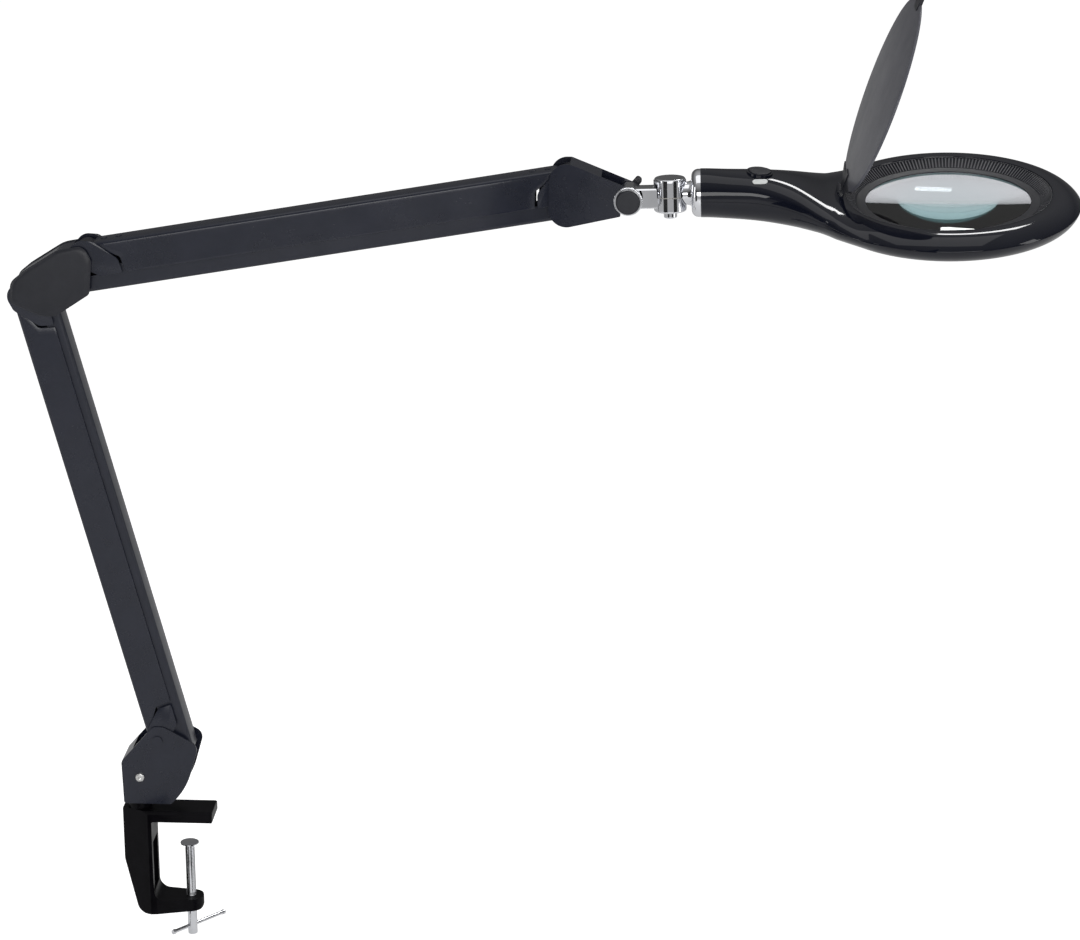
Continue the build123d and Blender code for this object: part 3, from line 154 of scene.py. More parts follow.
def finish_mesh(name, mesh, material, body, sharp, replaces):
    """Object from a mesh, with its material, body and the nodes it stands for."""
    mesh.shade_smooth()
    mesh.set_sharp_from_angle(angle=radians(sharp))
    obj = bpy.data.objects.new(name, mesh)
    bpy.context.scene.collection.objects.link(obj)
    obj.data.materials.append(material)
    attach(obj, body)
    if replaces:
        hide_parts(*replaces)
    return obj


def from_bmesh(name, bm, material, body, place=IDENTITY, sharp=SHARP_ANGLE, replaces=()):
    bmesh.ops.recalc_face_normals(bm, faces=bm.faces)
    bmesh.ops.transform(bm, matrix=Matrix.Scale(MM, 4) @ place, verts=bm.verts)
    mesh = bpy.data.meshes.new(name)
    bm.to_mesh(mesh)
    bm.free()
    return finish_mesh(name, mesh, material, body, sharp, replaces)


def rounded(corners, steps=ARC_STEPS):
    """Closed outline through corners (a, b, radius), with an arc at each corner that has one."""
    points = []
    count = len(corners)
    for i, (x, y, radius) in enumerate(corners):
        here = Vector((x, y))
        if radius <= 0:
            points.append(here)
            continue
        before = Vector(corners[i - 1][:2]) - here
        after = Vector(corners[(i + 1) % count][:2]) - here
        angle = before.angle(after)
        reach = min(radius / tan(angle / 2), before.length * CORNER_SHARE, after.length * CORNER_SHARE)
        radius = reach * tan(angle / 2)
        centre = here + (before.normalized() + after.normalized()).normalized() * (radius / sin(angle / 2))
        start = here + before.normalized() * reach - centre
        end = here + after.normalized() * reach - centre
        sweep = atan2(start.x * end.y - start.y * end.x, start.dot(end))
        n = max(2, int(steps * abs(sweep) / (pi / 2)) + 1)
        for k in range(n + 1):
            a = sweep * k / n
            x = start.x * cos(a) - start.y * sin(a)
            y = start.x * sin(a) + start.y * cos(a)
            points.append(centre + Vector((x, y)))
    clean = [points[0]]
    for p in points[1:]:
        if (p - clean[-1]).length > SAME_POINT:
            clean.append(p)
    if (clean[0] - clean[-1]).length < SAME_POINT:
        clean.pop()
    return clean


def prism_bmesh(outline, y0, y1, bevel):
    """Flat plate in the arms' plane between two depths, with rounded rims."""
    bm = bmesh.new()
    near = [bm.verts.new((p[0], y0, p[1])) for p in outline]
    far = [bm.verts.new((p[0], y1, p[1])) for p in outline]
    caps = [bm.faces.new(near), bm.faces.new(list(reversed(far)))]
    count = len(outline)
    for i in range(count):
        j = (i + 1) % count
        bm.faces.new((near[j], near[i], far[i], far[j]))
    rims = [e for face in caps for e in face.edges]
    bmesh.ops.bevel(bm, geom=rims, offset=bevel, segments=RIM_STEPS, profile=0.5, affect="EDGES",
                    clamp_overlap=True)
    return bm


def merge(bm, other, place=IDENTITY):
    """Adds another bmesh's faces to the first one."""
    bmesh.ops.transform(other, matrix=place, verts=other.verts)
    table = {}
    for v in other.verts:
        table[v] = bm.verts.new(v.co)
    for f in other.faces:
        bm.faces.new([table[v] for v in f.verts])
    other.free()


def lathe_bmesh(corners, segments, offset=None):
    """Solid turned about z from a closed outline (radius, z, rounding)."""
    outline = rounded(corners, LATHE_STEPS)
    bm = bmesh.new()
    rings = []
    for p in outline:
        if p[0] < ON_AXIS:
            rings.append([bm.verts.new((0, 0, p[1]))])
            continue
        ring = []
        for k in range(segments):
            a = 2 * pi * k / segments
            r, z = (p[0], p[1]) if offset is None else offset(p[0], p[1], k)
            ring.append(bm.verts.new((r * cos(a), r * sin(a), z)))
        rings.append(ring)
    count = len(rings)
    for i in range(count):
        a, b = rings[i], rings[(i + 1) % count]
        if len(a) == 1 and len(b) == 1:
            continue
        for k in range(segments):
            n = (k + 1) % segments
            if len(a) == 1:
                bm.faces.new((a[0], b[n], b[k]))
            elif len(b) == 1:
                bm.faces.new((a[k], a[n], b[0]))
            else:
                bm.faces.new((a[k], a[n], b[n], b[k]))
    return bm


def lathe(name, corners, material, body, place, segments, replaces=(), sharp=SHARP_ANGLE):
    """Turned piece, placed on its body."""
    bm = lathe_bmesh(corners, segments)
    return from_bmesh(name, bm, material, body, place, sharp, replaces)


def wire(name, points, radius, material, body, place, replaces):
    """Round wire swept through points, closed at both ends."""
    bm = bmesh.new()
    points = [Vector(p) for p in points]
    rings = []
    normal = None
    for i, p in enumerate(points):
        before = points[max(i - 1, 0)]
        after = points[min(i + 1, len(points) - 1)]
        along = (after - before).normalized()
        if normal is None:
            normal = along.orthogonal().normalized()
        normal = (normal - along * normal.dot(along)).normalized()
        side = along.cross(normal)
        ring = []
        for k in range(WIRE_SIDES):
            a = 2 * pi * k / WIRE_SIDES
            ring.append(bm.verts.new(p + (normal * cos(a) + side * sin(a)) * radius))
        rings.append(ring)
    for a, b in zip(rings, rings[1:]):
        for k in range(WIRE_SIDES):
            n = (k + 1) % WIRE_SIDES
            bm.faces.new((a[k], a[n], b[n], b[k]))
    bm.faces.new(list(reversed(rings[0])))
    bm.faces.new(rings[-1])
    return from_bmesh(name, bm, material, body, place, WIRE_SHARP, replaces)


# Materials

IOR = 1.5
SMEAR_SCALE = 0.6
BUMP_DISTANCE = 0.0003


def new_material(name):
    """Node material named after the record's slot that it finishes."""
    material = bpy.data.materials.new(name)
    material.use_nodes = True
    tree = material.node_tree
    shader = tree.nodes["Principled BSDF"]
    return material, tree, shader


def noise_node(tree, scale, detail=4.0, roughness=0.55):
    """Noise over the piece's own coordinates."""
    coords = tree.nodes.new("ShaderNodeTexCoord")
    node = tree.nodes.new("ShaderNodeTexNoise")
    node.inputs["Scale"].default_value = scale
    node.inputs["Detail"].default_value = detail
    node.inputs["Roughness"].default_value = roughness
    tree.links.new(coords.outputs["Object"], node.inputs["Vector"])
    return node


def map_range(tree, source, low, high, start=0.35, end=0.65):
    node = tree.nodes.new("ShaderNodeMapRange")
    node.inputs["From Min"].default_value = start
    node.inputs["From Max"].default_value = end
    node.inputs["To Min"].default_value = low
    node.inputs["To Max"].default_value = high
    tree.links.new(source, node.inputs["Value"])
    return node.outputs["Result"]


def mix_colour(tree, factor, first, second):
    node = tree.nodes.new("ShaderNodeMix")
    node.data_type = "RGBA"
    node.inputs["A"].default_value = (*first, 1)
    node.inputs["B"].default_value = (*second, 1)
    tree.links.new(factor, node.inputs["Factor"])
    return node.outputs["Result"]


def surface(name, dark, light, rough, patch, grain, bump, metallic=0.0, coat=0.0, coat_rough=0.0,
            specular=0.5, glow=0.0, glow_colour=(1, 1, 1)):
    """Opaque finish: two tones in soft patches, roughness that wanders, fine grain in the bump."""
    material, tree, shader = new_material(name)
    patches = noise_node(tree, patch, 5.0, 0.6)
    tones = map_range(tree, patches.outputs["Fac"], 0.0, 1.0)
    tree.links.new(mix_colour(tree, tones, dark, light), shader.inputs["Base Color"])
    smears = noise_node(tree, patch * SMEAR_SCALE, 6.0, 0.7)
    wander = map_range(tree, smears.outputs["Fac"], rough[0], rough[1], 0.3, 0.7)
    tree.links.new(wander, shader.inputs["Roughness"])
    shader.inputs["Metallic"].default_value = metallic
    shader.inputs["Emission Color"].default_value = (*glow_colour, 1)
    shader.inputs["Emission Strength"].default_value = glow
    shader.inputs["IOR"].default_value = IOR
    shader.inputs["Specular IOR Level"].default_value = specular
    if coat > 0:
        shader.inputs["Coat Weight"].default_value = coat
        shader.inputs["Coat Roughness"].default_value = coat_rough
    fine = noise_node(tree, grain, 3.0, 0.5)
    node = tree.nodes.new("ShaderNodeBump")
    node.inputs["Strength"].default_value = bump
    node.inputs["Distance"].default_value = BUMP_DISTANCE
    tree.links.new(fine.outputs["Fac"], node.inputs["Height"])
    tree.links.new(node.outputs["Normal"], shader.inputs["Normal"])
    return material


PAINT = surface("black_paint", (0.008, 0.010, 0.019), (0.011, 0.013, 0.024), (0.22, 0.30),
                patch=35, grain=1500, bump=0.05, coat=0.15, coat_rough=0.10, specular=0.40)
PAINT_IN = surface("black_paint", (0.009, 0.011, 0.020), (0.012, 0.014, 0.025), (0.26, 0.36),
                   patch=35, grain=1500, bump=0.06, coat=0.10, coat_rough=0.2, specular=0.40)
CASTING = surface("dark_casting", (0.0020, 0.0018, 0.0026), (0.0035, 0.0032, 0.0045), (0.26, 0.38),
                  patch=80, grain=700, bump=0.12, specular=0.08)
GLOSS = surface("head_plastic", (0.004, 0.005, 0.010), (0.006, 0.007, 0.013), (0.05, 0.08),
                patch=25, grain=400, bump=0.010, coat=0.25, coat_rough=0.03, specular=0.26)
SATIN = surface("satin_plastic", (0.009, 0.010, 0.015), (0.013, 0.014, 0.020), (0.34, 0.44),
                patch=60, grain=2400, bump=0.12, specular=0.40)
# Lighter copy of the satin plastic for the rib tops: painted highlight
RIB_PAINTED_HIGHLIGHT = surface("satin_plastic", (0.10, 0.10, 0.11), (0.15, 0.15, 0.16), (0.22, 0.32),
                   patch=60, grain=2400, bump=0.12)
# Mid grey for the lid's black plastic: painted reflection of bright surroundings on its glossy face
LID_PAINTED_SHEEN = surface("lid_plastic", (0.075, 0.076, 0.092), (0.092, 0.093, 0.110), (0.30, 0.40),
              patch=30, grain=2200, bump=0.08, coat=0.2, coat_rough=0.2, specular=0.35)
CHROME = surface("chrome", (0.76, 0.77, 0.80), (0.82, 0.83, 0.86), (0.03, 0.07),
                 patch=90, grain=700, bump=0.015, metallic=1.0)
ZINC = surface("zinc_steel", (0.58, 0.58, 0.58), (0.72, 0.72, 0.71), (0.14, 0.24),
               patch=160, grain=1600, bump=0.08, metallic=1.0)
SPRING = surface("spring_steel", (0.28, 0.28, 0.29), (0.42, 0.42, 0.43), (0.28, 0.4),
                 patch=200, grain=1200, bump=0.1, metallic=1.0)
NYLON = surface("nylon", (0.42, 0.41, 0.38), (0.50, 0.49, 0.45), (0.42, 0.5),
                patch=90, grain=1200, bump=0.08)
RUBBER = surface("rubber", (0.016, 0.016, 0.016), (0.024, 0.024, 0.024), (0.62, 0.78),
                 patch=90, grain=1800, bump=0.3)
# Light teal, glowing copy of the head plastic for the lens tube: painted light and painted glow for light
# coming through the lens
TUBE_PAINTED_GLOW = surface("head_plastic", (0.30, 0.42, 0.42), (0.42, 0.54, 0.54), (0.35, 0.45),
               patch=40, grain=900, bump=0.05, glow=0.10, glow_colour=(0.45, 0.80, 0.80))
# Pale teal rubber with an emission for the gasket: painted light and painted glow for light coming through
# the lens
GASKET_PAINTED_GLOW = surface("rubber", (0.46, 0.56, 0.55), (0.60, 0.70, 0.69), (0.5, 0.6),
                 patch=50, grain=900, bump=0.1, glow=0.30, glow_colour=(0.50, 0.82, 0.82))
BOARD = surface("board", (0.62, 0.63, 0.61), (0.70, 0.71, 0.69), (0.4, 0.5),
                patch=120, grain=1500, bump=0.1)
CHIP = surface("chip", (0.62, 0.50, 0.16), (0.72, 0.60, 0.22), (0.25, 0.35),
               patch=300, grain=3000, bump=0.05)
DIFFUSER = surface("diffuser", (0.66, 0.68, 0.67), (0.72, 0.74, 0.73), (0.32, 0.4),
                   patch=60, grain=2600, bump=0.1)

GLASS_TINTS = ((0.60, 0.59, 0.62), (0.62, 0.61, 0.64))
GLASS_DEPTH = (0.20, 0.66, 0.66, 1)
GLASS_DENSITY = 9.0


def glass_material():
    """Lens glass: slightly grey coating, teal through its depth, a trace of dust in the polish."""
    material, tree, shader = new_material("lens_glass")
    faint = noise_node(tree, 14, 4.0)
    tones = map_range(tree, faint.outputs["Fac"], 0.0, 1.0)
    tree.links.new(mix_colour(tree, tones, *GLASS_TINTS), shader.inputs["Base Color"])
    dust = noise_node(tree, 420, 6.0, 0.7)
    tree.links.new(map_range(tree, dust.outputs["Fac"], 0.0, 0.02, 0.55, 0.8), shader.inputs["Roughness"])
    shader.inputs["Transmission Weight"].default_value = 1.0
    shader.inputs["IOR"].default_value = IOR
    depth = tree.nodes.new("ShaderNodeVolumeAbsorption")
    depth.inputs["Color"].default_value = GLASS_DEPTH
    depth.inputs["Density"].default_value = GLASS_DENSITY
    tree.links.new(depth.outputs["Volume"], tree.nodes["Material Output"].inputs["Volume"])
    return material


GLASS = glass_material()


# Arms

FLANGE_LEVELS = 14
BEND_STEPS = 6
CHANNEL_COLUMNS = 40
CHANNEL_SHARP = 40.0
SHEET_EDGE = 0.25
SHEET_EDGE_ANGLE = 50.0
SLANT_TOP = 4.0
SLANT_FOOT = -6.4
SLANT_TOE = 2.3
INNER_CORNER = 5.0
INNER_TRIM = 0.4
HUB_ARC = (62.0, 250.0)
HUB_STEPS = 20
STRAP_SHAPE = [(10.0, 2.0), (28.0, 1.5), (26.5, 7.0), (9.0, 6.0)]
STRAP_SHOULDER = -8.0
STRAP_NECK = 0.86
STRAP_RECESS = 0.02
STRAP_RIM = 0.3
COIL_R = 3.4
COIL_TURNS = 76
COIL_STEPS = 12
COIL_WIRE_R = 0.58
HOOK_STEPS = 13
ANCHOR_HOOK_R = 2.2
STUB_HOOK_R = 2.8
SMALL_SEGMENTS = 24
PIN_RECESS = 0.05


def channel_rows(half, back, edge):
    """Section of a folded channel as (y, z), from one flange's edge round the back to the other's."""
    toward = 1.0 if edge > back else -1.0
    rows = []
    for k in range(FLANGE_LEVELS + 1):
        rows.append((-half, edge + (back + toward * BEND_R - edge) * k / FLANGE_LEVELS))
    for k in range(1, BEND_STEPS + 1):
        a = pi / 2 * k / BEND_STEPS
        rows.append((-half + BEND_R * (1 - cos(a)), back + toward * BEND_R * (1 - sin(a))))
    mirrored = [(-y, z) for y, z in reversed(rows)]
    return rows + [(0.0, back)] + mirrored


def channel(name, x_start, x_end, half, back, edge, material, body, place, replaces):
    """Folded channel: x_start and x_end give its ends at a height z."""
    bm = bmesh.new()
    grid = []
    for y, z in channel_rows(half, back, edge):
        low, high = x_start(z), x_end(z)
        line = [(low + (high - low) * c / CHANNEL_COLUMNS, y, z) for c in range(CHANNEL_COLUMNS + 1)]
        grid.append([bm.verts.new(p) for p in line])
    for a, b in zip(grid, grid[1:]):
        for c in range(CHANNEL_COLUMNS):
            bm.faces.new((a[c], a[c + 1], b[c + 1], b[c]))
    bm.faces.ensure_lookup_table()
    bm.normal_update()
    middle = bm.faces[0].calc_center_median()
    if bm.faces[0].normal.dot(Vector((0, middle.y, 0))) < 0:
        bmesh.ops.reverse_faces(bm, faces=bm.faces)
    bmesh.ops.transform(bm, matrix=Matrix.Scale(MM, 4) @ place, verts=bm.verts)
    mesh = bpy.data.meshes.new(name)
    bm.to_mesh(mesh)
    bm.free()
    obj = finish_mesh(name, mesh, material, body, CHANNEL_SHARP, replaces)
    solid = obj.modifiers.new("sheet", "SOLIDIFY")
    solid.thickness = WALL * MM
    solid.offset = -1.0
    bevel = obj.modifiers.new("edges", "BEVEL")
    bevel.width = SHEET_EDGE * MM
    bevel.segments = RIM_STEPS
    bevel.limit_method = "ANGLE"
    bevel.angle_limit = radians(SHEET_EDGE_ANGLE)


def outer_start(z):
    """End of an outer channel: square at the back, slanted along the strap, a short toe at the edge."""
    if z >= SLANT_TOP:
        return BACK_START
    if z >= SLANT_FOOT:
        return BACK_START + (SLANT_TOP - z) / (SLANT_TOP - SLANT_FOOT) * (STRAP_REACH - BACK_START)
    return STRAP_REACH + (SLANT_FOOT - z) / (SLANT_FOOT + OUTER_DEPTH - BACK) * SLANT_TOE


def inner_start(z, back):
    """End of an inner channel, with its corner cut and the flange trimmed down near the end."""
    rise = z - back
    if rise > INNER_END_DEPTH:
        return INNER_END_LENGTH - BACK + (rise - INNER_END_DEPTH)
    if rise > INNER_END_DEPTH - INNER_CORNER:
        return -BACK + (rise - INNER_END_DEPTH + INNER_CORNER)
    return -BACK + max(0.0, BEND_R - rise) * INNER_TRIM


def in_arm(offset, angle):
    c, s = cos(radians(angle)), sin(radians(angle))
    return offset[0] * c + offset[1] * s, -offset[0] * s + offset[1] * c


def strap_outline(x0, toward, hub):
    """Strap at an arm's end: rounded hub, then a flank that runs down to the channel's edge."""
    edge = BACK - OUTER_DEPTH
    corners = []
    for k in range(HUB_STEPS + 1):
        a = radians(HUB_ARC[0] + k * (HUB_ARC[1] - HUB_ARC[0]) / HUB_STEPS)
        corners.append((x0 + toward * hub * cos(a), hub * sin(a), 0))
    for (x, radius), z in zip(STRAP_SHAPE, (edge, edge, STRAP_SHOULDER, hub * STRAP_NECK)):
        corners.append((x0 + toward * x, z, radius))
    if toward < 0:
        corners.reverse()
    return corners


def hook_points(pin, axis, other, radius, start):
    """Three quarters of an eye round a pin, from an angle in degrees."""
    points = []
    for k in range(HOOK_STEPS):
        a = radians(start + 20 * k)
        points.append(pin - axis * (radius * cos(a)) + other * (radius * sin(a)))
    return points


def coil_points(start, end):
    """Tension spring between two pins: hook, close coils, hook."""
    start, end = Vector(start), Vector(end)
    axis = (end - start).normalized()
    side = Vector((0, 1, 0))
    other = axis.cross(side)
    gap = ((end - start).length - SPRING_LENGTH) / 2 - SPRING_SHIFT
    count = COIL_TURNS * COIL_STEPS
    points = hook_points(start, axis, other, ANCHOR_HOOK_R, -240)
    points.append(start + axis * (gap - 2.0) + other * COIL_R * 0.3)
    for k in range(count + 1):
        a = 2 * pi * k / COIL_STEPS
        along = start + axis * (gap + SPRING_LENGTH * k / count)
        points.append(along + side * COIL_R * cos(a) + other * COIL_R * sin(a))
    points.append(start + axis * (gap + SPRING_LENGTH + 3.0) + other * COIL_R * 0.2)
    return points + hook_points(end, axis, other, STUB_HOOK_R, -60)


def arm_channels(name, place, sx, sz):
    """Outer channel and the inner one that runs inside it."""
    back = sz - BACK
    channel(f"{name}_channel_outer", outer_start, lambda z: ARM_LENGTH - outer_start(z), OUTER_HALF,
            BACK, BACK - OUTER_DEPTH, PAINT, f"{name}_outer", place, (f"{name}_outer_channel",))
    channel(f"{name}_channel_inner", lambda z: sx + inner_start(z, back),
            lambda z: sx + ARM_LENGTH - inner_start(z, back), INNER_HALF, back, back + INNER_DEPTH,
            PAINT_IN, f"{name}_inner", place, (f"{name}_inner_channel",))


def arm_straps(name, place, hubs):
    """Two straps at each end of the outer channel."""
    bm = bmesh.new()
    for x0, toward, hub in ((0.0, 1, hubs[0]), (ARM_LENGTH, -1, hubs[1])):
        for side in (-1, 1):
            y0, y1 = sorted((side * OUTER_HALF, side * (STRAP_FACE - STRAP_RECESS)))
            merge(bm, prism_bmesh(rounded(strap_outline(x0, toward, hub)), y0, y1, STRAP_RIM))
    from_bmesh(f"{name}_end_straps", bm, PAINT, f"{name}_outer", place, replaces=(f"{name}_straps",))


def arm_rivets(name, place):
    """Rivets along the channel's back and the pin that anchors the springs."""
    bm = bmesh.new()
    near, far = RIVET_STEPS
    for x in (near, far, ARM_LENGTH - far, ARM_LENGTH - near):
        head = [(0, -RIVET_GRIP, 0), (RIVET_R, -RIVET_GRIP, 0), (RIVET_R, 0, 0), (RIVET_HEAD_R, 0, 0.1),
                (RIVET_HEAD_R - 0.1, RIVET_HEAD - 0.1, 0.5), (0, RIVET_HEAD, 0)]
        merge(bm, lathe_bmesh(head, SMALL_SEGMENTS), shift(x, 0, BACK))
    reach = OUTER_HALF - PIN_RECESS
    for side in (-1, 1):
        pin = [(0, 0, 0), (SPRING_PIN_R, 0, 0), (SPRING_PIN_R, reach, 0.3), (0, reach, 0)]
        place_pin = shift(SPRING_ANCHOR[0], 0, SPRING_ANCHOR[1]) @ turn("X", -90 * side)
        merge(bm, lathe_bmesh(pin, SMALL_SEGMENTS), place_pin)
    from_bmesh(f"{name}_rivet_heads", bm, PAINT, f"{name}_outer", place, replaces=(f"{name}_rivets",))


def build_arm(name, pivot, angle, inner_offset, hubs):
    """Outer and inner channel, end straps, rivets and the pair of springs of one arm."""
    place = arm_place(pivot, angle)
    sx, sz = in_arm(inner_offset, angle)
    arm_channels(name, place, sx, sz)
    arm_straps(name, place, hubs)
    arm_rivets(name, place)
    for side, label, replaced in ((-1, "near", (f"{name}_springs",)), (1, "far", ())):
        y = side * SPRING_SIDE
        points = coil_points((SPRING_ANCHOR[0], y, SPRING_ANCHOR[1]), (sx, y, sz))
        wire(f"{name}_spring_{label}", points, COIL_WIRE_R, SPRING, f"{name}_outer", place, replaced)


build_arm("lower", BASE_PIVOT, LOWER_ANGLE, LOWER_INNER, (HUB_R, STRAP_HUB_R))
build_arm("upper", elbow_upper, UPPER_ANGLE, UPPER_INNER, (STRAP_HUB_R, HUB_R))


# Elbow covers: plates with a wide, softly rounded rim

COVER_CENTRE = (26.0, 14.0)
COVER_STEPS = 10
COVER_SHARP = 50.0
COVER_PROFILE = [(0.0, 0.0), (0.0, 0.15), (0.25, 0.32), (0.8, 0.62), (1.6, 0.98), (2.5, 1.27), (3.5, 1.46),
                 (4.6, 1.56), (5.8, 1.6)]
COVER_CORNERS = [(-8.6, -4.6, 6.5), (-7.0, 12.5, 10.0), (4.0, 21.5, 20.0), (31.0, 38.5, 24.0),
                 (52.5, 42.4, 10.0), (58.2, 30.5, 8.0), (55.5, 3.2, 5.0), (27.5, -15.2, 10.0),
                 (14.5, -14.4, 6.0)]


def cover_ring(bm, outline, centre, inset, y):
    """Outline pulled in towards the cover's middle, at one depth."""
    row = []
    for p in outline:
        q = p - (p - centre).normalized() * inset
        row.append(bm.verts.new((q[0], y, q[1])))
    return row


def elbow_cover_pair():
    """Near and far cover over the elbow bracket's cheeks."""
    x0, z0 = elbow_lower
    outline = rounded([(x0 + x, z0 + z, r) for x, z, r in COVER_CORNERS], COVER_STEPS)
    centre = Vector((x0 + COVER_CENTRE[0], z0 + COVER_CENTRE[1]))
    bm = bmesh.new()
    count = len(outline)
    for side in (-1, 1):
        rows = [cover_ring(bm, outline, centre, inset, side * (CHEEK_OUT + rise))
                for inset, rise in COVER_PROFILE]
        for a, b in zip(rows, rows[1:]):
            for i in range(count):
                j = (i + 1) % count
                bm.faces.new((a[i], a[j], b[j], b[i]) if side < 0 else (a[j], a[i], b[i], b[j]))
        bm.faces.new(rows[-1] if side < 0 else list(reversed(rows[-1])))
        bm.faces.new(list(reversed(rows[0])) if side < 0 else rows[0])
    from_bmesh("elbow_cover_pair", bm, SATIN, "elbow", replaces=("elbow_covers",), sharp=COVER_SHARP)


elbow_cover_pair()


# Head: one smooth form blended from the handle and the ring

# Along the handle: x, centre height, half width, top, bottom, squareness
HANDLE_SECTIONS = [(7.2, 0.0, 19.0, 19.0, -19.0, 2.0), (28.0, -0.4, 19.8, 17.6, -19.8, 2.2),
                   (53.0, -1.4, 22.5, 15.8, -21.8, 2.4), (78.0, -4.4, 32.5, 11.6, -24.6, 2.4),
                   (101.0, -9.2, 49.0, 4.0, -26.4, 2.3), (124.0, -12.8, 66.0, -4.4, -24.5, 2.2)]
CENTRE, HALF_WIDTH, TOP, BOTTOM, SQUARENESS = 1, 2, 3, 4, 5
HANDLE_END = HANDLE_SECTIONS[-1][0]
SEAM_DROP = 0.4
SEAM_GAP = 0.10
CROWN = (16.0, 3.2)
SKIRT = (5.2, 4.2)
BLEND_WIDTH = 9.0
BLEND_END = 140.0
BLEND_RUN = 30.0
GRADIENT_STEP = 0.05
SETTLE_STEPS = 7
SETTLE_MOVE = 4.0
SETTLE_ERROR = 0.002
OUTLINE_POINTS = 300
FLANK_END = 128.0
SIDE_COLUMNS_END = 104.0
HANDLE_COLUMNS = 70
RING_COLUMNS = 150
RING_EASE = 0.9
SHELL_ROWS = 34
SHELL_SHARP = 48.0
CENTRE_GAP = 0.02
LIP_ROUND = (0.12, 0.06)
LIP_FOLD = (1.6, 0.05)
LIP_SEGMENTS = 180
RECESS_LIP = [(RECESS_R, 0.0), (RECESS_R - 0.12, -0.25), (RECESS_R - 0.15, -2.6)]
WINDOW_LIP = [(WINDOW_R, 0.0), (WINDOW_R - 0.6, 0.15), (WINDOW_INNER_R, 0.7), (WINDOW_INNER_R, 3.0)]


def hermite(x, table, column):
    """Smooth curve through a column of the handle's sections."""
    xs = [row[0] for row in table]
    ys = [row[column] for row in table]
    n = len(xs)
    if x <= xs[0]:
        return ys[0] + (x - xs[0]) * slope_at(xs, ys, 0)
    if x >= xs[-1]:
        return ys[-1] + (x - xs[-1]) * slope_at(xs, ys, n - 1)
    i = max(k for k in range(n - 1) if xs[k] <= x)
    h = xs[i + 1] - xs[i]
    t = (x - xs[i]) / h
    a, b = slope_at(xs, ys, i), slope_at(xs, ys, i + 1)
    return ((2 * t ** 3 - 3 * t ** 2 + 1) * ys[i] + (t ** 3 - 2 * t ** 2 + t) * h * a
            + (-2 * t ** 3 + 3 * t ** 2) * ys[i + 1] + (t ** 3 - t ** 2) * h * b)


def slope_at(xs, ys, i):
    """Slope of a section table at one of its rows."""
    if i == 0:
        return 0.0
    if i == len(xs) - 1:
        return (ys[i] - ys[i - 1]) / (xs[i] - xs[i - 1])
    left = (ys[i] - ys[i - 1]) / (xs[i] - xs[i - 1])
    right = (ys[i + 1] - ys[i]) / (xs[i + 1] - xs[i])
    return (left + right) / 2


def seam_height(x):
    """Height of the seam between the two shells."""
    return hermite(min(x, HANDLE_END), HANDLE_SECTIONS, CENTRE) - SEAM_DROP


def arc_through(a, b, c):
    """Centre and radius of the circle through three points."""
    ax, ay, bx, by, cx, cy = *a, *b, *c
    sa, sb, sc = ax ** 2 + ay ** 2, bx ** 2 + by ** 2, cx ** 2 + cy ** 2
    d = 2 * (ax * (by - cy) + bx * (cy - ay) + cx * (ay - by))
    ux = (sa * (by - cy) + sb * (cy - ay) + sc * (ay - by)) / d
    uy = (sa * (cx - bx) + sb * (ax - cx) + sc * (bx - ax)) / d
    return (ux, uy), hypot(ax - ux, ay - uy)


NOSE = (RING_R, -NOSE_DROP)
TOP_ARC = arc_through((RECESS_R, RIM_RISE), (RECESS_R + CROWN[0], RIM_RISE - CROWN[1]), NOSE)
LOW_ARC = arc_through(NOSE, (RING_R - SKIRT[0], -RING_DEPTH + SKIRT[1]), (WINDOW_R, -RING_DEPTH))


def ring_field(x, y, z):
    """Signed distance to the ring's outer form, roughly; negative inside."""
    r = hypot(x - LENS_REACH, y)
    height = z + LENS_DROP
    (cx, cz), radius = TOP_ARC if height > -NOSE_DROP else LOW_ARC
    return hypot(r - cx, height - cz) - radius


def handle_field(x, y, z):
    """Signed distance to the handle's outer form, roughly; negative inside."""
    centre = hermite(x, HANDLE_SECTIONS, CENTRE)
    half = hermite(x, HANDLE_SECTIONS, HALF_WIDTH)
    top = hermite(x, HANDLE_SECTIONS, TOP)
    bottom = hermite(x, HANDLE_SECTIONS, BOTTOM)
    power = hermite(x, HANDLE_SECTIONS, SQUARENESS)
    high = top - centre if z > centre else centre - bottom
    u, v = abs(y) / half, abs(z - centre) / max(high, 1.0)
    value = (u ** power + v ** power) ** (1 / power)
    return (value - 1) * min(half, high)


def head_field(x, y, z):
    """Handle and ring joined with a soft fillet."""
    a, b = handle_field(x, y, z), ring_field(x, y, z)
    if x > BLEND_END:
        return b
    width = BLEND_WIDTH * min(1.0, max(0.0, (BLEND_END - x) / BLEND_RUN)) + 0.01
    mix = max(0.0, width - abs(a - b)) / width
    return min(a, b) - mix * mix * width * 0.25


def field_gradient(x, y, z):
    """Outward direction of the head's form at a point."""
    h = GRADIENT_STEP
    return Vector((head_field(x + h, y, z) - head_field(x - h, y, z),
                   head_field(x, y + h, z) - head_field(x, y - h, z),
                   head_field(x, y, z + h) - head_field(x, y, z - h))) / (2 * h)


def settle(p, free=(1, 1, 1)):
    """Moves a point onto the head's outer form along the directions that are free."""
    p = Vector(p)
    for _ in range(SETTLE_STEPS):
        value = head_field(*p)
        g = field_gradient(*p)
        g = Vector((g.x * free[0], g.y * free[1], g.z * free[2]))
        size = g.length_squared
        if size < 1e-9:
            break
        move = g * (value / size)
        if move.length > SETTLE_MOVE:
            move = move.normalized() * SETTLE_MOVE
        p -= move
        if abs(value) < SETTLE_ERROR:
            break
    return p


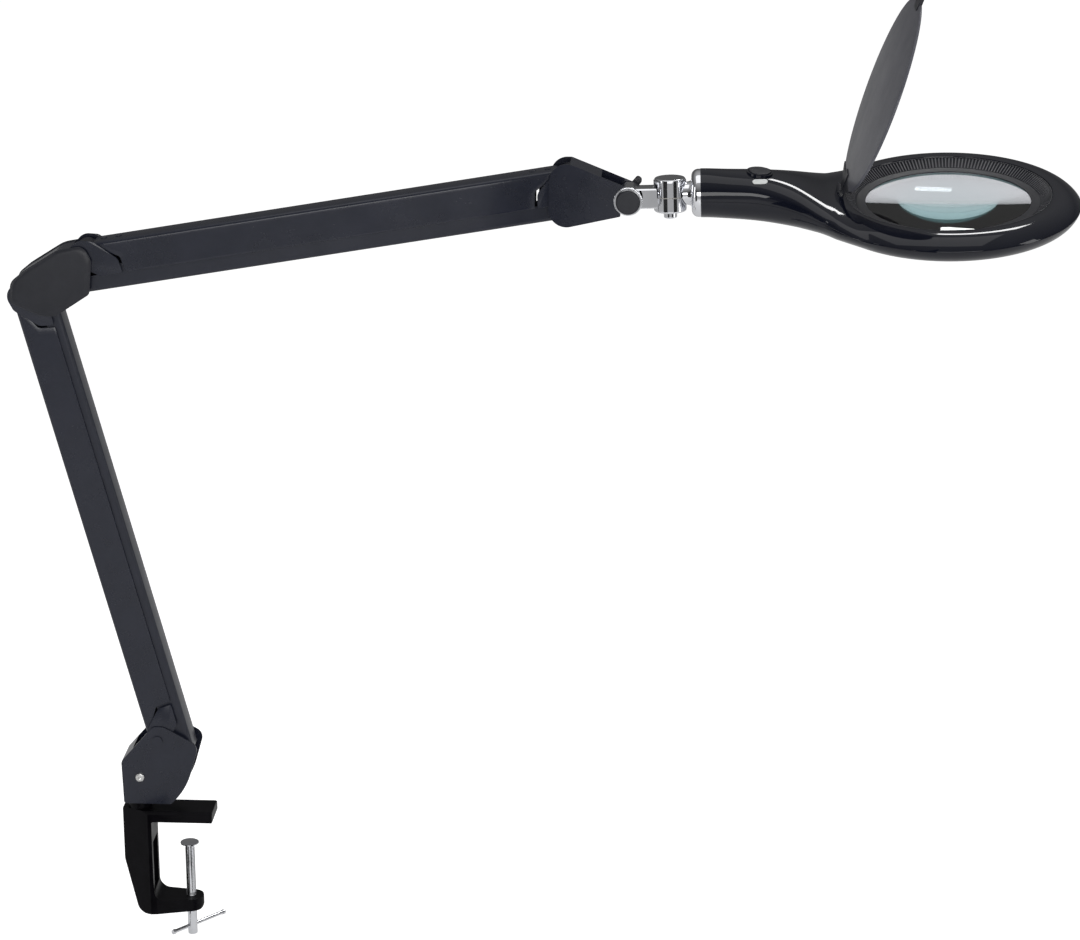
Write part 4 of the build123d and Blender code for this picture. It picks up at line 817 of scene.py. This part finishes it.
def plan_outline():
    """Near half of the head's plan outline, collar to tip, and the length up to each point."""
    raw = []
    for k in range(OUTLINE_POINTS + 1):
        x = COLLAR_LENGTH + (FLANK_END - COLLAR_LENGTH) * k / OUTLINE_POINTS
        raw.append(settle((x, -hermite(x, HANDLE_SECTIONS, HALF_WIDTH), seam_height(x)), (0, 1, 0)))
    start = atan2(raw[-1].y, raw[-1].x - LENS_REACH)
    for k in range(1, OUTLINE_POINTS + 1):
        a = start - start * k / OUTLINE_POINTS
        x, y = LENS_REACH + RING_R * cos(a), RING_R * sin(a)
        raw.append(settle((x, y, seam_height(x)), (1, 1, 0)))
    lengths = [0.0]
    for a, b in zip(raw, raw[1:]):
        lengths.append(lengths[-1] + (b - a).length)
    return raw, lengths


RAW, LENGTHS = plan_outline()


def outline_at(s):
    """Point at a fraction of the outline's length."""
    target = s * LENGTHS[-1]
    low, high = 0, len(LENGTHS) - 1
    while high - low > 1:
        mid = (low + high) // 2
        if LENGTHS[mid] <= target:
            low = mid
        else:
            high = mid
    t = (target - LENGTHS[low]) / max(1e-9, LENGTHS[high] - LENGTHS[low])
    return RAW[low].lerp(RAW[high], t)


def fraction_of_x(x):
    """Fraction of the outline's length at which it first reaches x."""
    for k, p in enumerate(RAW):
        if p.x >= x:
            return LENGTHS[k] / LENGTHS[-1]
    return 1.0


SIDE_END = fraction_of_x(SIDE_COLUMNS_END)


def spine_and_outline(limit):
    """Pairs of an inner point (x, y) and the outline point beside it, collar to tip."""
    pairs = []
    for k in range(HANDLE_COLUMNS + 1):
        t = k / HANDLE_COLUMNS
        x = COLLAR_LENGTH + (LENS_REACH - limit - COLLAR_LENGTH) * t
        pairs.append(((x, 0.0), outline_at(SIDE_END * t)))
    for k in range(1, RING_COLUMNS + 1):
        t = k / RING_COLUMNS
        a = -pi * (1 - t)
        eased = SIDE_END + (1 - SIDE_END) * (t ** RING_EASE)
        pairs.append(((LENS_REACH + limit * cos(a), limit * sin(a)), outline_at(eased)))
    return pairs


def half_shell(top, limit):
    """Rows of settled points for one half of a shell, from its inner edge to the seam."""
    columns = []
    gap = SEAM_GAP if top else -SEAM_GAP
    for index, ((cx, cy), edge) in enumerate(spine_and_outline(limit)):
        seam = Vector((edge.x, edge.y, seam_height(edge.x) + gap))
        seam = settle(seam, (0 if index == 0 else 1, 1, 0))
        inner_z = hermite(min(cx, HANDLE_END), HANDLE_SECTIONS, TOP if top else BOTTOM)
        if index >= HANDLE_COLUMNS:
            inner_z = -LENS_DROP + (RIM_RISE if top else -RING_DEPTH)
        inner = settle((cx, cy, inner_z), (0, 0, 1))
        column = [inner]
        for k in range(1, SHELL_ROWS):
            a = pi / 2 * k / SHELL_ROWS
            w = sin(a)
            p = Vector((cx + (seam.x - cx) * w, cy + (seam.y - cy) * w, seam.z + (inner.z - seam.z) * cos(a)))
            p = settle(p, (0 if index == 0 else 1, 1, 1))
            if 0 < index <= HANDLE_COLUMNS:
                p.y = min(p.y, -CENTRE_GAP)
            column.append(p)
        column.append(seam)
        columns.append(column)
    return columns


def shell(name, top, limit, lip, replaces):
    """One shell of the head: both halves, a folded-in lip at the seam and at its inner edge."""
    up = 1 if top else -1
    columns = half_shell(top, limit)
    bm = bmesh.new()
    for side in (1, -1):
        grid = []
        for column in columns:
            line = [Vector((p.x, p.y * side, p.z)) for p in column]
            g = field_gradient(*column[-1])
            g = Vector((g.x, g.y * side, 0)).normalized()
            seam = line[-1]
            line.append(seam - g * LIP_ROUND[0] - Vector((0, 0, up * LIP_ROUND[1])))
            line.append(seam - g * LIP_FOLD[0] + Vector((0, 0, up * LIP_FOLD[1])))
            grid.append([bm.verts.new(p) for p in line])
        for a, b in zip(grid, grid[1:]):
            for k in range(len(a) - 1):
                face = (a[k], b[k], b[k + 1], a[k + 1])
                bm.faces.new(face if side > 0 else tuple(reversed(face)))
    bmesh.ops.remove_doubles(bm, verts=bm.verts, dist=0.03)
    inner_lip(bm, limit, -LENS_DROP + (RIM_RISE if top else -RING_DEPTH), lip)
    from_bmesh(name, bm, GLOSS, "head", head_place, SHELL_SHARP, replaces)


def inner_lip(bm, limit, level, lip):
    """Turns the shell's inner edge on the ring down into the recess, or up beside the light window."""
    rows = []
    for radius, drop in lip:
        row = []
        for k in range(LIP_SEGMENTS):
            a = 2 * pi * k / LIP_SEGMENTS
            edge = settle((LENS_REACH + limit * cos(a), limit * sin(a), level), (0, 0, 1))
            row.append(bm.verts.new((LENS_REACH + radius * cos(a), radius * sin(a), edge.z + drop)))
        rows.append(row)
    for a, b in zip(rows, rows[1:]):
        for k in range(LIP_SEGMENTS):
            n = (k + 1) % LIP_SEGMENTS
            bm.faces.new((a[k], a[n], b[n], b[k]))


shell("head_shell_upper", True, RECESS_R, RECESS_LIP, ("head_top_shell",))
shell("head_shell_lower", False, WINDOW_R, WINDOW_LIP, ("head_bottom_shell",))


# Lens, its tube and the ribbed ring, as (radius, height, rounding) above the lens's place

TUBE_PROFILE = [(68.2, -RING_DEPTH, 0.4), (70.2, -RING_DEPTH, 0.4), (70.2, -3.8, 0.5), (81.8, 3.0, 0.5),
                (81.8, 4.6, 0.3), (80.0, 4.6, 0.3), (68.2, -2.0, 0.3), (68.2, -5.0, 0.1), (65.5, -5.0, 0.3),
                (65.5, -6.8, 0.3), (68.2, -8.3, 0.6)]
BEZEL_PROFILE = [(79.7, 6.6, 0.3), (78.6, 6.5, 0.2), (78.3, 6.1, 0), (70.9, 1.15, 0), (70.4, 0.75, 0.2),
                 (63.5, 0.3, 0.3), (63.5, -0.55, 0.2), (68.2, -1.15, 0), (68.6, -1.55, 0), (79.7, 4.85, 0)]
TUBE_SEGMENTS = 192
BEZEL_SHARP = 40.0
RIB_SEGMENTS = 1080
RIB_PITCH = 6
RIB_GROOVE = (0, 1, 2)
# Rib steps whose tops take the painted highlight
RIB_HIGHLIGHT_STEPS = (3, 4)
RIB_DEPTH = 0.8
RIB_ZONE = (70.6, 78.6)
# Radii on the cone where the rib tops take the painted highlight
RIB_HIGHLIGHT_ZONE = (71.3, 78.1)
LENS_CURVE = 347.0
LENS_R = 66.5
LENS_EDGE = (-1.5, -4.5)
LENS_STEPS = 28
LENS_SHARP = 30.0
DISC_SEGMENTS = 160


def ribs(r, z, k):
    """Fine radial ribs pressed into the cone of the lens ring."""
    if RIB_ZONE[0] < r < RIB_ZONE[1] and z > 0.0 and k % RIB_PITCH in RIB_GROOVE:
        return r + RIB_DEPTH * 0.6, z - RIB_DEPTH
    return r, z


def bezel():
    """Ribbed ring round the lens, with a painted highlight: a lighter copy of its plastic on the tops of its
    ribs.
    """
    bm = lathe_bmesh(BEZEL_PROFILE, RIB_SEGMENTS, ribs)
    for face in bm.faces:
        middle = face.calc_center_median()
        r = hypot(middle.x, middle.y)
        step = int(round(atan2(middle.y, middle.x) * RIB_SEGMENTS / (2 * pi) - 0.5)) % RIB_PITCH
        on_cone = RIB_HIGHLIGHT_ZONE[0] < r < RIB_HIGHLIGHT_ZONE[1] and middle.z > 0.6 + (r - 70.9) * 0.5
        if on_cone and step in RIB_HIGHLIGHT_STEPS:
            face.material_index = 1
    ring = from_bmesh("lens_ring_ribbed", bm, SATIN, "head", lens_place, BEZEL_SHARP, ("lens_bezel",))
    ring.data.materials.append(RIB_PAINTED_HIGHLIGHT)


def lens_drop(r):
    """Depth of the lens's curve at a radius."""
    return LENS_CURVE - sqrt(LENS_CURVE ** 2 - r ** 2)


def lens_piece():
    """Biconvex lens, fine enough to refract cleanly."""
    radii = [LENS_R * k / LENS_STEPS for k in range(LENS_STEPS + 1)]
    top, bottom = LENS_EDGE
    corners = [(r, top + lens_drop(LENS_R) - lens_drop(r), 0) for r in reversed(radii)]
    corners += [(r, bottom - lens_drop(LENS_R) + lens_drop(r), 0) for r in radii]
    lathe("lens_glass_disc", corners, GLASS, "head", lens_place, DISC_SEGMENTS, ("lens",), LENS_SHARP)


# Lens tube in painted teal light with a painted glow
lathe("lens_tube", TUBE_PROFILE, TUBE_PAINTED_GLOW, "head", lens_place, TUBE_SEGMENTS)
bezel()
lens_piece()


# Flip cover

LID_R = 78.3
LID_LOW = 7.6
LID_HIGH = 9.5
LID_DOME = 2.2
LID_STEPS = 30
LID_ROUND = 0.9
LID_WALL = 1.2
LID_SHARP = 40.0
FOOT_R = 78.6
FOOT_ARC = (154.0, 206.0)
FOOT_STEPS = 24
FOOT_DEPTH = (7.3, 10.2)
FOOT_RIM = 0.4


def lid_profile():
    """Section of the dished disc, over its top from the middle and back along its underside."""
    corners = []
    for k in range(LID_STEPS + 1):
        r = (LID_R - LID_ROUND) * k / LID_STEPS
        rounding = 0.0 if k < LID_STEPS else 0.5
        corners.append((r, LID_HIGH + LID_DOME * (1 - (r / LID_R) ** 2), rounding))
    corners.append((LID_R, LID_HIGH - LID_ROUND, 0.5))
    corners.append((LID_R, LID_LOW, 0.4))
    for k in range(LID_STEPS, -1, -1):
        r = (LID_R - LID_WALL) * k / LID_STEPS
        corners.append((r, LID_LOW + LID_DOME * (1 - (r / LID_R) ** 2), 0.0))
    return corners


def lid_piece():
    """Hinged lid: shallow dished disc with a rolled rim, and the block at its hinge."""
    x, z = LID_HINGE
    opened = lens_place @ shift(-x, 0, z) @ turn("Y", -LID_OPEN) @ shift(x, 0, -z)
    # The disc takes the lid's grey painted reflection
    lathe("lid_disc", lid_profile(), LID_PAINTED_SHEEN, "lid", opened, DISC_SEGMENTS, ("lid",), LID_SHARP)
    foot = []
    for k in range(FOOT_STEPS + 1):
        a = radians(FOOT_ARC[0] + (FOOT_ARC[1] - FOOT_ARC[0]) * k / FOOT_STEPS)
        foot.append((FOOT_R * cos(a), FOOT_R * sin(a)))
    bm = prism_bmesh(foot, *FOOT_DEPTH, FOOT_RIM)
    from_bmesh("lid_foot", bm, SATIN, "lid", opened @ turn("X", 90))


lid_piece()


# Remaining nodes keep their own shape and take a finish
NODE_FINISH = {
    "clamp_frame": CASTING, "swivel_bush": SATIN, "pressure_plate": CHROME, "clamp_screw": CHROME,
    "tommy_bar": CHROME, "base_bracket": PAINT, "base_core": SATIN, "base_spigot": ZINC,
    "swivel_washer": SATIN, "base_pins": PAINT,
    "base_screws": ZINC, "lower_yokes": SATIN, "upper_yokes": SATIN, "elbow_bracket": PAINT,
    "elbow_pins": PAINT, "cable_inlet": RUBBER, "wrist_bracket": PAINT, "wrist_pivot_pin": PAINT,
    "wrist_inner_pin": PAINT, "tilt_washer_near": CHROME, "tilt_washers": NYLON, "tilt_bolt": ZINC,
    "tilt_cap": SATIN, "tilt_lever": SATIN, "tilt_link": CHROME, "barrel_washer": NYLON, "swivel_pin": CHROME,
    "swivel_neck": CHROME, "twist_clip": SPRING, "barrel_cap": CHROME, "handle_collar": CHROME,
    "lens_gasket": GASKET_PAINTED_GLOW, "light_board": BOARD, "light_chips": CHIP, "diffuser_ring": DIFFUSER,
    "driver_board": BOARD, "switch_body": SATIN, "switch_bezel": GLOSS, "indicator_window": DIFFUSER,
    "shell_screws": ZINC, "lid_pin": ZINC, "power_button": SATIN, "lid_arm": SATIN, "lid_tab": SATIN,
    "lower_straps": PAINT, "upper_straps": PAINT, "lower_rivets": PAINT, "upper_rivets": PAINT,
    "lower_springs": SPRING, "upper_springs": SPRING, "lower_outer_channel": PAINT,
    "upper_outer_channel": PAINT,
    "lower_inner_channel": PAINT_IN, "upper_inner_channel": PAINT_IN, "head_top_shell": GLOSS,
    "head_bottom_shell": GLOSS, "lens_bezel": SATIN, "lens": GLASS, "lid": LID_PAINTED_SHEEN, "elbow_covers": SATIN,
}
BROKEN_EDGES = {"clamp_frame": 0.5, "base_bracket": 0.3, "wrist_bracket": 0.3, "elbow_bracket": 0.3,
                "base_screws": 0.2, "tilt_cap": 0.5, "tilt_link": 0.5, "lid_arm": 0.3, "lid_tab": 0.2,
                "pressure_plate": 0.2, "tilt_lever": 0.3, "swivel_washer": 0.2, "cable_inlet": 0.3}
BROKEN_EDGE_ANGLE = 40.0


def break_edges(node, width):
    """Small rounding along a node's sharp edges, which catches a thin highlight."""
    bevel = node.modifiers.new("edges", "BEVEL")
    bevel.width = width * MM
    bevel.segments = RIM_STEPS
    bevel.limit_method = "ANGLE"
    bevel.angle_limit = radians(BROKEN_EDGE_ANGLE)
    bevel.harden_normals = True


for node_name, node in frame["nodes"].items():
    node.data.materials.clear()
    node.data.materials.append(NODE_FINISH[node_name])
    if node_name in BROKEN_EDGES:
        break_edges(node, BROKEN_EDGES[node_name])


# Floor, light and camera

FLOOR_Z = -0.128
FLOOR_SIZE = 14.0
FLOOR_TONES = ((0.80, 0.80, 0.80), (0.82, 0.82, 0.82))
FLOOR_GLOW = 0.70
FLOOR_SHEEN = 0.05
WORLD_DIFFUSE = 0.42
ROOM_GLOSS = (0.10, 0.45)
ROOM_HEIGHTS = (0.35, 0.95)
VIEW_TARGET = (0.2938, 0, 0.3075)
VIEW_AZIMUTH = 3.0
VIEW_ELEVATION = 17.5
VIEW_DISTANCE = 2.44
SENSOR = 36.0
LENS_PIXELS = 3050
FRAME_PIXELS = 1080


def face_object(name, corners):
    """Object of one flat face, in metres."""
    bm = bmesh.new()
    bm.faces.new([bm.verts.new(c) for c in corners])
    mesh = bpy.data.meshes.new(name)
    bm.to_mesh(mesh)
    bm.free()
    obj = bpy.data.objects.new(name, mesh)
    bpy.context.scene.collection.objects.link(obj)
    return obj


def seen_directly(tree):
    """One where the camera looks, straight or through glass; and the Light Path node."""
    path = tree.nodes.new("ShaderNodeLightPath")
    seen = tree.nodes.new("ShaderNodeMath")
    seen.operation = "MAXIMUM"
    tree.links.new(path.outputs["Is Camera Ray"], seen.inputs[0])
    tree.links.new(path.outputs["Is Transmission Ray"], seen.inputs[1])
    return seen.outputs[0], path


def floor_material():
    """Matt pale floor with a glow for the camera, and a little for reflections."""
    material, tree, shader = new_material("studio_floor")
    grain = noise_node(tree, 3.0, 4.0)
    tones = map_range(tree, grain.outputs["Fac"], 0.0, 1.0)
    tree.links.new(mix_colour(tree, tones, *FLOOR_TONES), shader.inputs["Base Color"])
    shader.inputs["Roughness"].default_value = 0.9
    shader.inputs["Specular IOR Level"].default_value = 0.0
    seen, path = seen_directly(tree)
    mirrored = tree.nodes.new("ShaderNodeMath")
    mirrored.operation = "MULTIPLY"
    mirrored.inputs[1].default_value = FLOOR_SHEEN
    tree.links.new(path.outputs["Is Glossy Ray"], mirrored.inputs[0])
    strength = tree.nodes.new("ShaderNodeMath")
    strength.operation = "MULTIPLY_ADD"
    strength.inputs[1].default_value = FLOOR_GLOW
    tree.links.new(seen, strength.inputs[0])
    tree.links.new(mirrored.outputs[0], strength.inputs[2])
    shader.inputs["Emission Color"].default_value = (1, 1, 1, 1)
    tree.links.new(strength.outputs[0], shader.inputs["Emission Strength"])
    return material


def floor():
    """Pale studio floor that keeps a soft shadow."""
    size = FLOOR_SIZE
    obj = face_object("floor", [(-size, -size, 0), (size, -size, 0), (size, size, 0), (-size, size, 0)])
    obj.location = (0, 0, FLOOR_Z)
    obj.data.materials.append(floor_material())


def area(name, location, target, size, radiance):
    """Soft box of a given brightness, which the camera doesn't see."""
    data = bpy.data.lights.new(name, "AREA")
    data.shape = "RECTANGLE"
    data.size, data.size_y = size
    data.energy = radiance * pi * size[0] * size[1]
    obj = bpy.data.objects.new(name, data)
    obj.location = location
    obj.rotation_euler = (Vector(target) - Vector(location)).to_track_quat("-Z", "Y").to_euler()
    obj.visible_camera = False
    bpy.context.scene.collection.objects.link(obj)


def camera():
    """Camera at the photograph's angle; its lens is measured in pixels of the photograph's width."""
    data = bpy.data.cameras.new("Camera")
    obj = bpy.data.objects.new("Camera", data)
    bpy.context.scene.collection.objects.link(obj)
    data.sensor_width = SENSOR
    data.lens = LENS_PIXELS / FRAME_PIXELS * SENSOR
    az, el = radians(VIEW_AZIMUTH), radians(VIEW_ELEVATION)
    forward = Vector((-sin(az) * cos(el), cos(az) * cos(el), -sin(el)))
    obj.location = Vector(VIEW_TARGET) - VIEW_DISTANCE * forward
    obj.rotation_euler = forward.to_track_quat("-Z", "Y").to_euler()
    bpy.context.scene.camera = obj


def world():
    """White backdrop for the camera and the glass; a dim room, brighter above, for reflections."""
    data = bpy.data.worlds.new("studio")
    bpy.context.scene.world = data
    data.use_nodes = True
    tree = data.node_tree
    back = tree.nodes["Background"]
    seen, path = seen_directly(tree)
    coords = tree.nodes.new("ShaderNodeTexCoord")
    split = tree.nodes.new("ShaderNodeSeparateXYZ")
    tree.links.new(coords.outputs["Generated"], split.inputs[0])
    room = map_range(tree, split.outputs["Z"], *ROOM_GLOSS, *ROOM_HEIGHTS)
    choose = tree.nodes.new("ShaderNodeMix")
    choose.data_type = "FLOAT"
    choose.inputs["A"].default_value = WORLD_DIFFUSE
    tree.links.new(path.outputs["Is Glossy Ray"], choose.inputs["Factor"])
    tree.links.new(room, choose.inputs["B"])
    final = tree.nodes.new("ShaderNodeMix")
    final.data_type = "FLOAT"
    final.inputs["B"].default_value = 1.0
    tree.links.new(seen, final.inputs["Factor"])
    tree.links.new(choose.outputs["Result"], final.inputs["A"])
    back.inputs["Color"].default_value = (1, 1, 1, 1)
    tree.links.new(final.outputs["Result"], back.inputs["Strength"])


def card(name, corner_a, corner_b, low, high):
    """Dark card that only reflections see, which gives chrome its stripes."""
    obj = face_object(name, [(*corner_a, low), (*corner_b, low), (*corner_b, high), (*corner_a, high)])
    obj.data.materials.append(RUBBER)
    obj.visible_camera = False
    obj.visible_diffuse = False
    obj.visible_transmission = False
    obj.visible_shadow = False


floor()
world()
camera()
card("card_left", (0.25, -0.14), (0.325, -0.22), 0.42, 0.60)
card("card_right", (0.50, -0.23), (0.58, -0.16), 0.42, 0.60)
card("card_low_left", (-0.055, -0.04), (-0.025, -0.075), -0.12, 0.0)
card("card_low_right", (0.03, -0.08), (0.06, -0.045), -0.12, 0.0)
area("top_strip", (0.82, 0.82, 1.71), (0.66, 0.0, 0.45), (0.42, 0.20), 14)
area("front_box", (0.45, -1.9, 0.72), (0.45, 0.0, 0.5), (2.0, 0.55), 4.2)
area("overhead", (0.3, -0.2, 2.0), (0.3, 0.0, 0.3), (1.6, 1.2), 0.8)
area("left_tall", (-1.5, -0.9, 0.75), (0.2, 0.0, 0.4), (0.35, 1.5), 3.0)
area("right_tall", (1.9, -0.5, 0.75), (0.5, 0.0, 0.4), (0.35, 1.5), 3.0)
